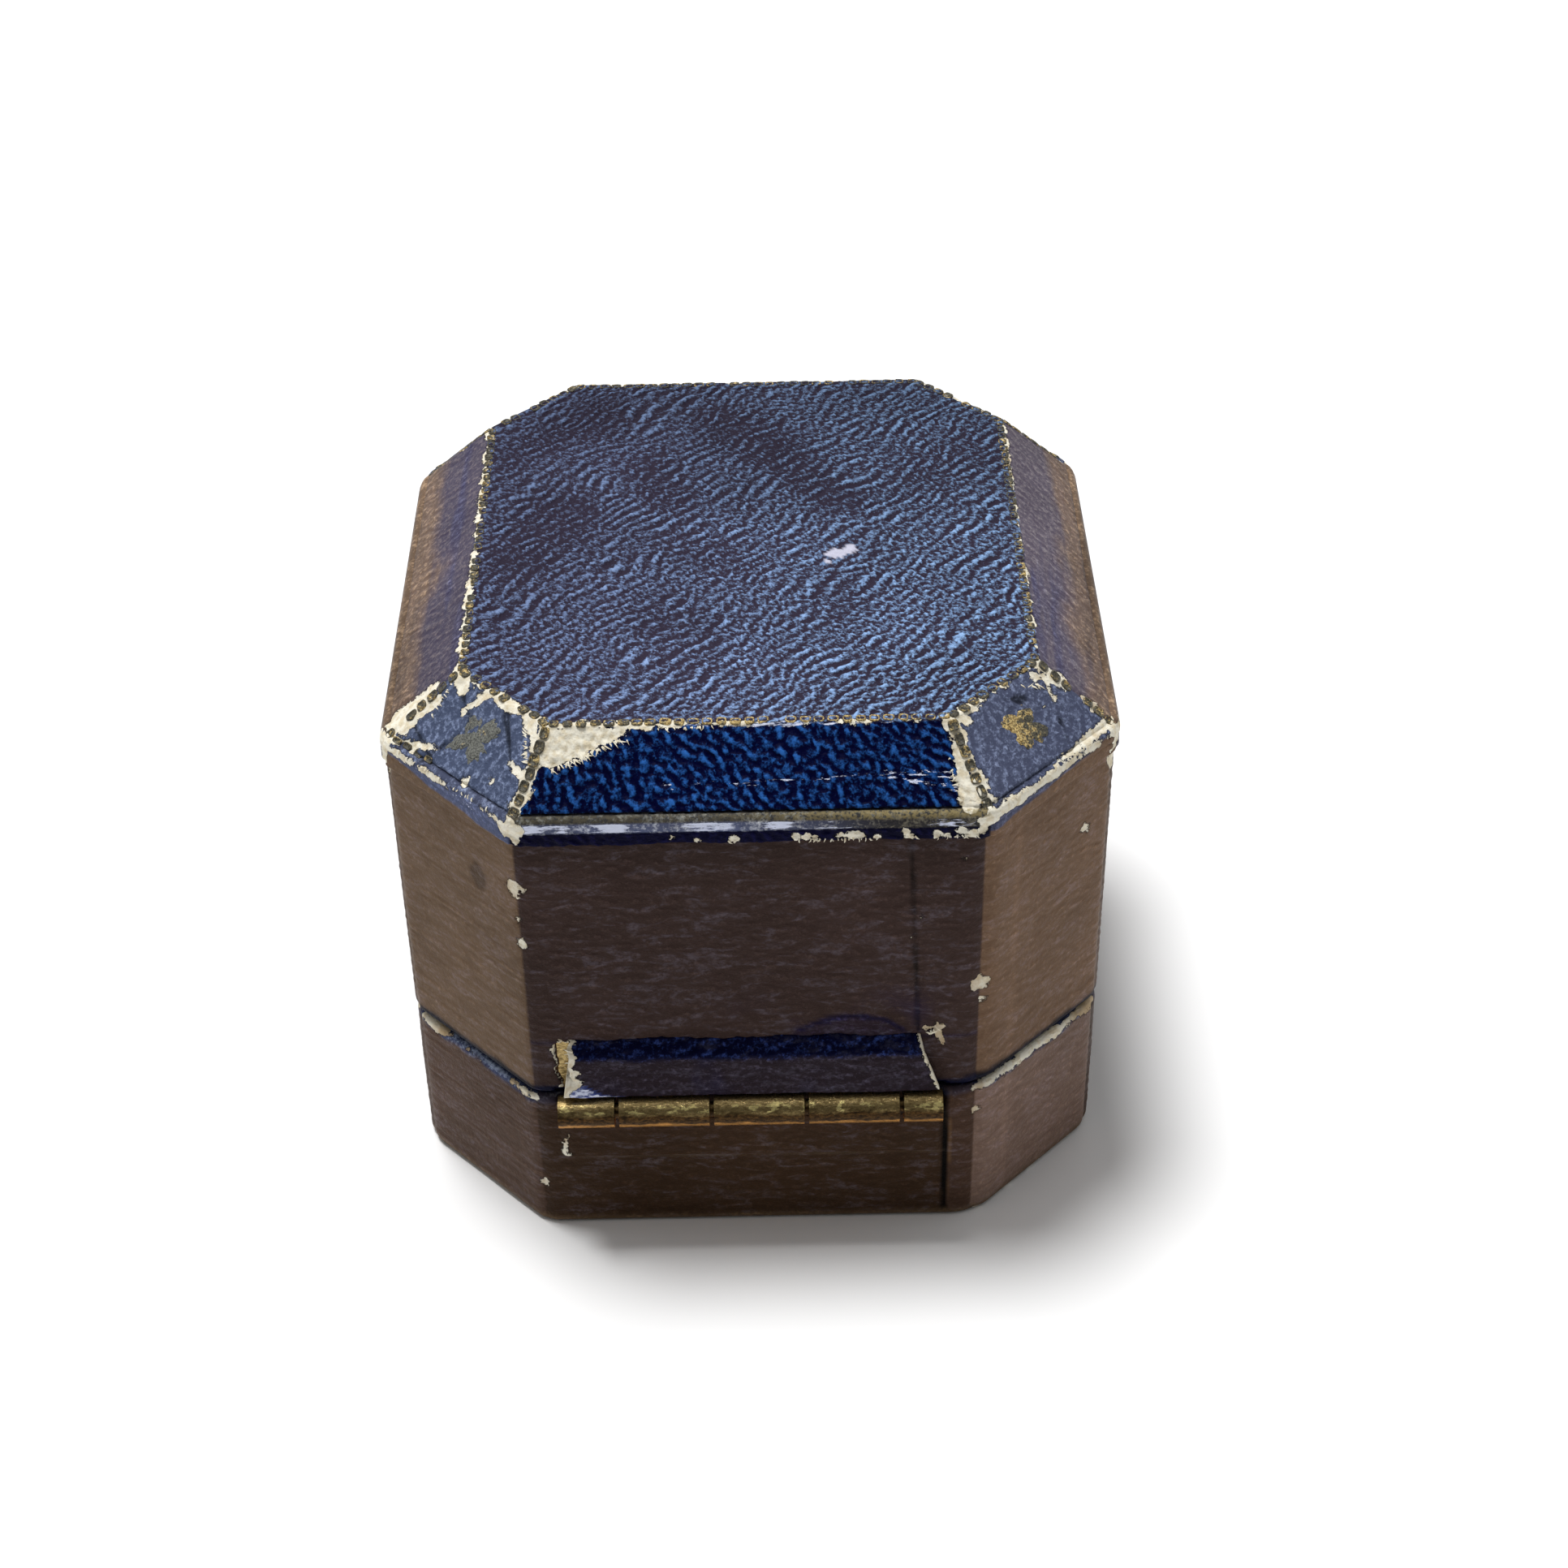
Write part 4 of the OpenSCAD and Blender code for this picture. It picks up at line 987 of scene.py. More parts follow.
def build_lid_sides():
    z0, z1 = SIDE_LO[2], SIDE_HI[2]
    p, quads, kind, side = side_band(
        [("side", 0, z) for z in np.linspace(z1, z0 + 0.55, 84)]
        + [("rim", t, z0 + rise) for t, rise in ROLL]
        + [("turn", t, z0) for t in np.linspace(0.8, 3.1, 6)]
        + [("inner", t, z0 + rise) for t, rise in ((3.2, 0.05), (3.2, 0.45), (3.1, 0.5), (0.62, 0.5), (0.6, 0.6))]
        + [("inner", 0.6, z1)])
    rest = p.copy()
    arris = octagon(SIDES)
    worn = edge_wear(p, drop_lines(arris, z0, arris, z1), [-0.42, -0.5, -0.34, -0.5, -0.5, -0.4, -0.4, -0.5], 1.2, 101, 0.4)
    rim = loop_lines(arris, z0)
    worn = np.maximum(worn, edge_wear(p, rim, [-0.2, -0.25, -0.6, -0.15, -0.2, -0.2, -0.3, -0.2], 1.4, 103, 0.4))
    worn = np.maximum(worn, spots(p, [
        (14.3, 23.2, 28.6, 0.62), (14.2, 23.3, 26.2, 0.2), (14.1, 23.4, 24.4, 0.34), (-13.9, 23.4, 20.3, 0.55),
        (-14.1, 23.2, 18.9, 0.22), (-20.6, 16.9, 27.4, 0.36), (-12.6, 23.4, 30.5, 0.16), (-9.6, 23.4, 24.5, 0.14),
        (-10.2, 23.4, 26.0, 0.1), (*arris[1], 31.9, 0.55), (*arris[4], 32.0, 0.95), (*arris[4], 31.0, 0.5),
        (22.3, -3.0, 24.0, 0.3), (-14.2, -23.2, 20.0, 0.4), (14.2, -23.2, 16.0, 0.3)], 105))
    star = np.array([FLAP_LO[0] + 0.45, REAR_Y, FLAP_HI[2] + 0.35])
    for dx, dz, wide in ((0.0, 0.9, 0.14), (0.75, 0.15, 0.12), (-0.55, 0.3, 0.14), (-0.5, -1.2, 0.16), (0.3, -0.4, 0.2)):
        worn = np.maximum(worn, wedge(p, star, star + np.array([dx, 0, dz]), 0.24, wide * 0.3, 107))
    # the rear slit beside the flap's end, with its torn star
    slit, _ = segment(p, np.array([-9.4, REAR_Y, SIDE_HI[2]]), np.array([-10.1, REAR_Y, FLAP_HI[2] + 0.4]))
    valley, ridge = side_paint(p, side, "lid", 111)
    seam = step(slit, 0.24, 0.08)[:, None] * (0.75 + 0.5 * rough3(p, 1.3, 113)[:, None]).clip(0, 1)
    valley, ridge = valley * (1 - 0.8 * seam), ridge * (1 - 0.8 * seam)
    beside = (step(abs(slit - 0.22), 0.12, 0.02) * step(rough3(p, 1.1, 137), 0.1, 0.5) * (p[:, 0] < -9))[:, None] * 0.5
    ridge = ridge * (1 - beside) + linear((112, 100, 92)) * beside
    arc_z = FLAP_HI[2] + 0.1 + 1.35 * np.clip(1 - ((p[:, 0] + 5.9) / 3.9) ** 2, 0, None)
    arc = step(abs(p[:, 2] - arc_z + 0.25 * rough3(p, 1.5, 139)), 0.42, 0.05) * (side == REAR)
    arc = arc * step(arc_z, FLAP_HI[2] + 0.2, FLAP_HI[2] + 0.6)
    under_arc = step(arc_z - p[:, 2], 0.0, 0.3) * (side == REAR) * (p[:, 2] > FLAP_HI[2] - 0.3) * 0.45
    arc = np.maximum(arc * 0.9, under_arc)[:, None]
    valley, ridge = dye((valley, ridge), arc, linear((14, 10, 44)), linear((44, 40, 88)))
    from_smudge = np.linalg.norm((p - [16.6, 20.9, 27.8]) / [0.9, 0.9, 1.3], axis=1)
    smudge = step(from_smudge + 0.25 * rough3(p, 1.0, 141), 1.0, 0.7)[:, None]
    valley, ridge = valley * (1 - 0.42 * smudge), ridge * (1 - 0.45 * smudge)
    # painted sheen: a blue-violet reflection in patches low on the rear face
    glow = step(rough3(p + 20, 5.0, 115), 0.0, 0.9) * step(p[:, 2], 21.5, 17.0) * step(p[:, 2], 15.0, 17.0)
    glow = (glow * (side == REAR) * step(p[:, 0], 4.0, -4.0))[:, None] * 0.6
    valley = valley * (1 - glow) + linear((34, 28, 70)) * glow
    shade = step(p[:, 2], 28.5, 32.0)[:, None] * (side == REAR)[:, None]
    valley, ridge = valley * (1 - 0.22 * shade), ridge * (1 - 0.22 * shade)
    # painted shade: the lid's lower rounded rim turns navy, darker still on the corner sides
    rim_shade = step(p[:, 2] + 0.2 * rough3(p, 1.5, 117), z0 + 0.95, z0 + 0.5)[:, None]
    navy = np.where(side % 2 == 1, 0.35, 1.0)[:, None] * linear((6, 8, 36))
    valley, ridge = dye((valley, ridge), rim_shade, navy, navy * 1.8)
    grain = straight_grain(121, p @ np.array([1, 0.83, 0]), p[:, 2], 0.75, math.radians(90), 0.35, 0.3)
    on_face = kind == "side"
    height = np.where(on_face, grain * 0.016 + 0.05 * rough3(p, 6.0, 125) * 0.6, 0.0)
    height -= 0.06 * step(worn, -0.05, 0.05) * on_face
    height -= 0.07 * step(slit, 0.22, 0.0) * on_face
    hole_d, hole_t = segment(p, np.array([FLAP_HI[0] - 0.85, REAR_Y, FLAP_LO[2] + 0.3]),
                             np.array([FLAP_HI[0] - 0.45, REAR_Y, FLAP_HI[2] - 0.7]))
    hole = (0.62 - 0.12 * hole_t + 0.16 * rough3(p, 0.6, 131) - hole_d) * np.where(side == REAR, 1, 0) - (side != REAR)
    inside = step(hole, -0.03, 0.06)[:, None]
    amber = linear((92, 62, 32)) * np.clip(0.8 + 0.6 * rough3(p, 0.5, 133)[:, None], 0.15, 1.6)
    valley, ridge = dye((valley, ridge), inside, amber, amber * 1.6)
    worn = np.maximum(worn, 0.14 + 0.16 * rough3(p, 0.5, 135) - abs(hole + 0.06) * 1.3)
    height -= 0.34 * step(hole, -0.02, 0.16) * on_face
    nrm = normals(p, quads)
    p = np.where((kind != "inner")[:, None], round_corners(p, arris, LID_ROUNDING), p) + nrm * height[:, None]
    # the leather is cut back where the hinge barrel turns in the rim
    barrel = ((rest[:, 0] > PIN_LO[0] - 0.25) & (rest[:, 0] < PIN_HI[0] + 0.25) & (rest[:, 1] > 22.6)
              & (rest[:, 2] < FLAP_LO[2] + 0.1))
    p[barrel, 1] = np.minimum(p[barrel, 1], REAR_Y - 0.5)
    make_object("lid_side_leather_cover", p, quads, LEATHER, "lid", "morocco_leather", ["lid_side_leather"],
                grain=grain * 0.8 - 0.4, worn=worn, valley=valley, ridge=ridge, gilt=0,
                hair=np.where(on_face, 0.7, 0.3), tan=step(rough3(rest, 3.0, 127), -0.4, 0.8) * 0.7,
                gleam=-1)


def build_base_sides():
    z0, z1 = BASE_LO[2], BASE_HI[2]
    p, quads, kind, side = side_band(
        [("turn", t, z1) for t in (3.9, 3.2, 2.4, 1.6, 1.0, 0.55)]
        + [("rim", t, z1 - drop) for t, drop in ROLL[-2::-1]]
        + [("side", 0, z) for z in np.linspace(z1 - 0.55, z0 + 0.5, 46)]
        + [("foot", t, z0 + rise) for t, rise in ((0.05, 0.3), (0.14, 0.14), (0.28, 0.04), (0.46, 0.0))]
        + [("under", t, z0) for t in (1.2, 2.2, 2.9)]
        + [("inner", t, z0 + rise) for t, rise in ((3.0, 0.05), (3.0, 0.3), (2.9, 0.35), (0.62, 0.35), (0.6, 0.45))]
        + [("inner", t, z1 - drop) for t, drop in ((0.6, 0.6), (0.62, 0.5), (3.9, 0.5), (4.0, 0.45), (4.0, 0.05))])
    rest = p.copy()
    arris = octagon(SIDES)
    worn = edge_wear(p, drop_lines(arris, z0, arris, z1), [-0.45, -0.5, -0.4, -0.5, -0.5, -0.4, -0.4, -0.5], 1.2, 201, 0.4)
    rim = loop_lines(arris, z1)
    rim_widths = [-0.05, 0.24, -0.6, 0.46, -0.05, 0.0, -0.1, 0.0]
    worn = np.maximum(worn, edge_wear(p, rim, rim_widths, 1.5, 203, 0.45))
    foot = loop_lines(arris, z0)
    worn = np.maximum(worn, edge_wear(p, foot, [-0.1, -0.12, -0.28, 0.0, -0.1, -0.1, -0.2, -0.1], 1.3, 205, 0.45))
    worn = np.maximum(worn, spots(p, [(12.3, 23.8, 8.1, 0.22), (12.4, 23.6, 7.3, 0.25), (12.2, 23.5, 6.7, 0.18),
                                      (14.1, 23.3, 3.6, 0.3), (-14.0, 23.3, 9.4, 0.25)], 207))
    worn = np.maximum(worn, wedge(p, (12.15, REAR_Y, 8.4), (12.5, REAR_Y, 6.6), 0.10, 0.22, 209))
    valley, ridge = side_paint(p, side, "base", 211)
    seam, _ = segment(p, np.array([-11.9, REAR_Y, z1]), np.array([-12.1, REAR_Y, z0]))
    beyond = (step(p[:, 0], -11.9, -12.3) * (side == REAR))[:, None]
    valley, ridge = valley * (1 + beyond * [0.5, 0.55, 0.9]), ridge * (1 + beyond * [0.4, 0.45, 0.7])
    cut = 0.97 * step(seam + 0.05 * rough3(p, 0.8, 216), 0.30, 0.12)[:, None]
    valley, ridge = valley * (1 - cut), ridge * (1 - cut)
    tan_line = (step(abs(seam - 0.33), 0.12, 0.02) * step(rough3(p, 1.4, 215), -0.2, 0.4) * (p[:, 0] < -11.9))[:, None] * 0.6
    valley, ridge = dye((valley, ridge), tan_line, linear((112, 84, 56)), linear((112, 84, 56)))
    # painted highlight: a thin light line along the lower edge of the hinge leaf under the leather
    leaf_edge_highlight = (step(abs(p[:, 2] - 6.15 - 0.12 * rough3(p, 4.0, 217)), 0.20, 0.03) * (side == REAR)
                 * step(abs(p[:, 0]), 12.6, 11.0) * np.clip(0.6 + 0.5 * rough3(p, 3.0, 219), 0, 1))[:, None] * 0.55
    valley, ridge = dye((valley, ridge), leaf_edge_highlight, linear((92, 80, 66)), linear((92, 80, 66)))
    # painted highlight: the base's upper rounded rim turns pale blue, most on the corner sides
    rim_highlight = step(p[:, 2] + 0.25 * rough3(p, 1.2, 213), z1 - 0.65, z1 - 0.3)[:, None] * (kind != "turn")[:, None]
    rim_highlight = rim_highlight * np.where(side % 2 == 1, 1.0, 0.35)[:, None]
    valley, ridge = dye((valley, ridge), rim_highlight, linear((58, 66, 96)), linear((150, 162, 186)))
    folded = (kind == "turn")[:, None]
    valley = np.where(folded, linear((16, 18, 50)), valley)
    ridge = np.where(folded, linear((48, 54, 96)), ridge)
    foot_tan = step(p[:, 2], z0 + 0.9, z0 + 0.2)[:, None]
    valley, ridge = dye((valley, ridge), foot_tan, linear((104, 84, 62)), linear((140, 116, 86)))
    grain = straight_grain(221, p @ np.array([1, 0.83, 0]), p[:, 2], 0.75, math.radians(90), 0.35, 0.3)
    on_face = kind == "side"
    height = np.where(on_face, grain * 0.016 + 0.03 * rough3(p, 6.0, 225), 0.0)
    height -= 0.06 * step(worn, -0.05, 0.05) * on_face
    height -= 0.08 * step(seam, 0.2, 0.0) * on_face
    # the leaf under the leather below the barrel
    leaf_lo, leaf_hi = corners_mm("hinge_leaf_base")
    relief_z0, relief_z1 = leaf_lo[2] - 0.2, PIN_Z - 1.2
    bulge = (step(rest[:, 2], relief_z0 - 0.25, relief_z0 + 0.2) * step(rest[:, 0], PIN_LO[0] - 0.15, PIN_LO[0] + 0.25)
             * step(rest[:, 0], PIN_HI[0] + 0.15, PIN_HI[0] - 0.25))
    rear_face = on_face & (side == REAR)
    height += np.where(rear_face & (rest[:, 2] < relief_z1), bulge * 0.36, 0)
    nrm = normals(p, quads)
    p = np.where((kind != "inner")[:, None], round_corners(p, arris, BASE_ROUNDING), p) + nrm * height[:, None]
    # the notch in the front rim through which the catch stands
    notch_x, notch_in = 2.95, 1.2
    depth_in = rest[:, 1] + SIDES[1]
    in_notch = (abs(rest[:, 0]) < notch_x) & (rest[:, 1] < 0) & (depth_in > notch_in) & (rest[:, 2] > z1 - 0.52)
    share = np.clip((depth_in - notch_in) / (4.0 - notch_in), 0, 1)
    sunk = np.where(rest[:, 2] > z1 - 0.02, z1 - 0.04 - 0.36 * share, np.minimum(rest[:, 2], z1 - 0.43))
    p[in_notch, 1], p[in_notch, 2] = notch_in - SIDES[1], sunk[in_notch]
    barrel = ((rest[:, 0] > PIN_LO[0] - 0.1) & (rest[:, 0] < PIN_HI[0] + 0.1) & (rest[:, 1] > 22.6)
              & (rest[:, 2] > relief_z1))
    p[barrel, 1] = np.minimum(p[barrel, 1], REAR_Y - 0.5)
    make_object("base_side_leather_cover", p, quads, LEATHER, "base", "morocco_leather", ["base_side_leather"],
                grain=grain * 0.8 - 0.4, worn=worn, valley=valley, ridge=ridge, gilt=0,
                hair=np.where(on_face, 0.7, 0.3) * (seam > 0.3), tan=step(rough3(rest, 3.0, 227), -0.5, 0.6) * 0.8,
                gleam=-1)


build_lid_sides()
build_base_sides()


# ---------------------------------------------------------------- hinge flap

def build_flap():
    """The leather glued over the lid leaf: a sloped upper edge, a torn left end and a curled lower corner."""
    x0, x1 = FLAP_LO[0], FLAP_HI[0]
    y1, z0, z1 = FLAP_HI[1], FLAP_LO[2], FLAP_HI[2]
    across = 190
    outer = [(REAR_Y - 0.02, z1 + 0.02), (REAR_Y + 0.1, z1 - 0.02)]
    outer += [(REAR_Y + 0.1 + (y1 - REAR_Y - 0.16) * f, z1 - 0.02 - 0.72 * f) for f in np.linspace(0, 1, 7)[1:]]
    outer += [(y1, z) for z in np.linspace(z1 - 0.9, z0 + 0.2, 17)]
    outer += [(y1 - 0.06, z0 + 0.08), (y1 - 0.2, z0 + 0.02)]
    inner = [(y1 - 0.5, z0 + 0.02), (y1 - 0.55, z0 + 0.1), (y1 - 0.55, z1 - 1.1), (REAR_Y - 0.1, z1 - 0.3)]
    profile = np.array(outer + inner)
    rows = len(profile)
    u = np.linspace(0, 1, across)
    x = x0 + (x1 - x0) * u
    co = np.zeros((rows, across, 3))
    co[..., 0] = x
    co[..., 1], co[..., 2] = profile[:, None, 0], profile[:, None, 1]
    z = co[..., 2]
    flat = co.reshape(-1, 3).copy()
    # the ends are torn: the left one (+X) is ragged and stands back from the hinge's end
    end = (1.0 + 0.45 * rough3(flat * np.array([0, 1, 1]), 0.8, 301, 4)).reshape(rows, across)
    left_end = x1 - end * (0.35 + 0.75 * step(z, z0 - 0.5, z0 + 1.6)) + 0.35 * step(z, z1 - 1.2, z1)
    right_end = x0 + 0.12 + 0.12 * (end - 1) + 1.35 * step(z, z0 - 0.8, z1 + 0.4)
    co[..., 0] = right_end + (left_end - right_end) * u
    top_wave = 0.17 * rough3(flat * np.array([1, 0, 0]), 1.9, 303, 4).reshape(rows, across)
    share = step(z, z0 + 2.5, z1)
    co[..., 2] += top_wave * share
    curl = step(co[..., 0], x1 - 4.6, x1 - 1.0) * step(z, z0 + 1.3, z0)
    co[..., 1] += 0.34 * curl
    co[..., 2] += 0.26 * curl
    p = co.reshape(-1, 3)
    is_outer = np.repeat(np.arange(rows) < len(outer), across)
    row = np.repeat(np.arange(rows), across)
    quads = grid_quads(rows, across, closed_rows=True, closed_columns=False)
    grain = straight_grain(311, p[:, 0], p[:, 2], 0.7, math.radians(80), 0.4, 0.35)
    # painted light: the sloped band along the top, which faces up, is painted blue like the lid's bevels, and the
    # upright face brown like the sides
    slope = step(p[:, 2] + 0.16 * rough3(p, 0.8, 315), z1 - 1.2, z1 - 0.85)[:, None]
    valley = linear((40, 31, 38)) * (1 - slope) + linear((4, 6, 40)) * slope
    ridge = linear((78, 71, 86)) * (1 - slope) + linear((54, 74, 140)) * slope
    patch = step(rough3(p, 3.2, 313), 0.0, 0.8)[:, None] * (1 - slope)
    valley = valley * (1 - 0.45 * patch) + linear((26, 26, 62)) * 0.45 * patch
    # painted highlight: pale streaks of light along the curled lower corner
    taper = np.clip((x1 - 0.9 - p[:, 0]) / 3.6, 0, 1)
    lower = step(z0 + 1.7 * (1 - taper) ** 1.5 - p[:, 2] + 0.12 * rough3(p * np.array([0.3, 1, 1]), 0.5, 321), -0.02, 0.1)
    lower = (lower * (taper < 1) * is_outer)[:, None]
    valley, ridge = dye((valley, ridge), lower, linear((60, 74, 136)), linear((206, 214, 236)))
    ends = np.maximum(0.34 - abs(p[:, 0] - left_end.ravel()) * 0.9, 0.18 - abs(p[:, 0] - right_end.ravel()))
    worn = ends + 0.2 * rough3(p, 0.6, 317)
    nrm = normals(p, quads)
    height = np.where(is_outer, grain * 0.02 + 0.03 * rough3(p, 2.5, 319), 0)
    p = p + nrm * height[:, None]
    caps = [list(np.arange(rows) * across)[::-1], list(np.arange(rows) * across + across - 1)]
    make_object("lid_hinge_flap_cover", p, [list(q) for q in quads] + caps, LEATHER, "lid", "morocco_leather",
                ["lid_hinge_flap"], grain=grain * 0.6 - 0.3, worn=worn, valley=valley, ridge=ridge,
                gilt=0, hair=np.where(is_outer, 0.5, 0.0) * (1 - lower[:, 0]), tan=0.1,
                gleam=-1 + 1.08 * lower[:, 0])


build_flap()


# ---------------------------------------------------------------- CAD nodes: metal, wood, paper, card

def brass_material(name, bright, dull, grime):
    n = Nodes(name)
    cloud, fine, scratch = n.noise(1.3, 4), n.noise(9, 4, 0.65), n.noise(2.2, 4, 0.6, stretch=(6, 1, 1), shift=0.4)
    colour = n.mix(n.span(cloud, 0.35, 0.65), linear(dull), linear(bright))
    colour = n.mix(n.span(fine, 0.5, 0.66), colour, linear(grime))
    rough = n.span(n.add(cloud, n.times(fine, 0.6)), 0.5, 1.1, 0.22, 0.55)
    return n.shade(base_color=colour, roughness=rough, metallic=1.0,
                   normal=n.bump(n.add(scratch, fine), 0.02))


def barrel_material():
    """The hinge barrel, coloured by height round its axis: a painted highlight with glints along the top, painted shade
    below, and an amber line underneath as a painted reflection.
    """
    n = Nodes("hinge_barrel_brass")
    where = n.tree.nodes.new("ShaderNodeSeparateXYZ")
    n.put(where.inputs[0], n.place)
    fine, wobble = n.noise(7, 5, 0.7, stretch=(0.5, 1, 1)), n.noise(1.0, 4, 0.65, stretch=(0.6, 1, 1), shift=0.3)
    height = n.add(where.outputs[2], n.swing(wobble, 0.7 * MM))
    radius = (PIN_HI[2] - PIN_LO[2]) / 2 + 0.6
    level = n.span(height, (PIN_Z - radius) * MM, (PIN_Z + radius) * MM, -1, 1, smooth=False)
    # painted shade on the lower part of the barrel, painted highlight on the top
    shaded_lower_brass = n.mix(n.span(fine, 0.35, 0.65), linear((30, 19, 8)), linear((74, 52, 25)))
    top = n.mix(n.span(fine, 0.34, 0.66), linear((112, 94, 58)), linear((188, 164, 112)))
    colour = n.mix(n.span(level, 0.26, 0.62), shaded_lower_brass, top)
    spot = n.noise(2.2, 3, 0.6, stretch=(0.5, 1, 1), shift=0.77)
    glint = n.times(n.span(level, 0.44, 0.56), n.span(level, 0.86, 0.72))
    glint = n.times(glint, n.span(spot, 0.53, 0.6))
    colour = n.mix(glint, colour, linear((255, 236, 160)))
    # painted reflection: an amber line along the underside
    colour = n.mix(n.span(level, -0.16, -0.42), colour, linear((212, 152, 78)))
    return n.shade(base_color=colour, roughness=n.span(fine, 0.35, 0.65, 0.42, 0.22), metallic=0.9,
                   normal=n.bump(n.add(fine, wobble), 0.025))


BRASS = brass_material("aged_brass", (172, 148, 100), (112, 90, 54), (46, 34, 22))


def plain_material(name, low, high, per_mm, stretch=(1, 1, 1), rough=(0.6, 0.85), bump_mm=0.03, metallic=0.0):
    n = Nodes(name)
    a, b = n.noise(per_mm, 4, 0.6, stretch), n.noise(per_mm * 6, 3, 0.6, stretch, 0.3)
    colour = n.mix(n.span(a, 0.32, 0.68), linear(low), linear(high))
    colour = n.mix(0.4, colour, n.mix(b, (0.6, 0.6, 0.6), (1.4, 1.4, 1.4)), "MULTIPLY")
    return n.shade(base_color=colour, roughness=n.span(b, 0.3, 0.7, *rough), metallic=metallic,
                   normal=n.bump(n.add(a, n.times(b, 0.5)), bump_mm))


BARREL = barrel_material()
FINISHES = {
    "wood": plain_material("pale_wood", (150, 108, 66), (196, 156, 106), 0.5, (1, 1, 0.12)),
    "steel": plain_material("spring_steel", (110, 112, 118), (168, 170, 176), 1.5, (1, 1, 0.2), (0.25, 0.45), 0.01, 1.0),
    "card": plain_material("grey_card", (128, 112, 94), (156, 140, 118), 1.6),
    "underside_paper": plain_material("underside_paper", (58, 44, 36), (92, 72, 56), 0.9),
    "hinge_brass": BRASS,
    "catch_brass": BRASS,
    "velvet": plain_material("velvet_rough", (28, 24, 66), (48, 42, 100), 3.0),
    "satin": plain_material("satin_rough", (196, 186, 206), (222, 214, 228), 2.0),
}
BARREL_NODES = ("hinge_leaf_lid", "hinge_leaf_base", "hinge_pin")
SLOT_OF = {entry["node"]: entry["material_slot"] for entry in frame["record"]["subparts"]}


def finish_cad_nodes():
    for name, node in frame["nodes"].items():
        slot = SLOT_OF.get(name)
        if slot is None or slot == "morocco_leather":
            continue
        node.data.materials.clear()
        node.data.materials.append(BARREL if name in BARREL_NODES else FINISHES[slot])


finish_cad_nodes()


# ---------------------------------------------------------------- velvet and silk inside

def velvet_material():
    n = Nodes("blue_velvet")
    pile, crush, dust = n.noise(14, 3, 0.6), n.noise(0.35, 4, 0.6), n.noise(3.0, 4, 0.7, shift=0.6)
    colour = n.mix(n.span(crush, 0.36, 0.64), linear((12, 13, 42)), linear((26, 28, 72)))
    colour = n.mix(n.span(pile, 0.3, 0.7, 0.0, 0.35), colour, linear((50, 54, 108)))
    colour = n.mix(n.span(dust, 0.66, 0.74, 0.0, 0.5), colour, linear((150, 146, 150)))
    return n.shade(base_color=colour, roughness=n.span(pile, 0.3, 0.7, 0.8, 0.95),
                   normal=n.bump(n.add(pile, n.times(crush, 2.0)), 0.08), sheen_weight=0.45,
                   sheen_roughness=0.35, sheen_tint=(0.55, 0.58, 1.0, 1.0), specular_ior_level=0.1)


def satin_material():
    n = Nodes("ivory_satin")
    thread, slub = n.noise(7, 2, 0.5, stretch=(1, 9, 1)), n.noise(1.4, 3, 0.6, stretch=(1, 12, 1), shift=0.2)
    age = n.noise(0.16, 4, 0.6, shift=0.5)
    colour = n.mix(n.span(age, 0.38, 0.66), linear((232, 220, 192)), linear((206, 184, 144)))
    colour = n.mix(0.35, colour, n.mix(thread, (0.7, 0.7, 0.7), (1.3, 1.3, 1.3)), "MULTIPLY")
    return n.shade(base_color=colour, roughness=n.span(slub, 0.3, 0.7, 0.26, 0.42),
                   normal=n.bump(n.add(thread, slub), 0.03), sheen_weight=0.25)


VELVET, SATIN = velvet_material(), satin_material()
WORK = 20.0


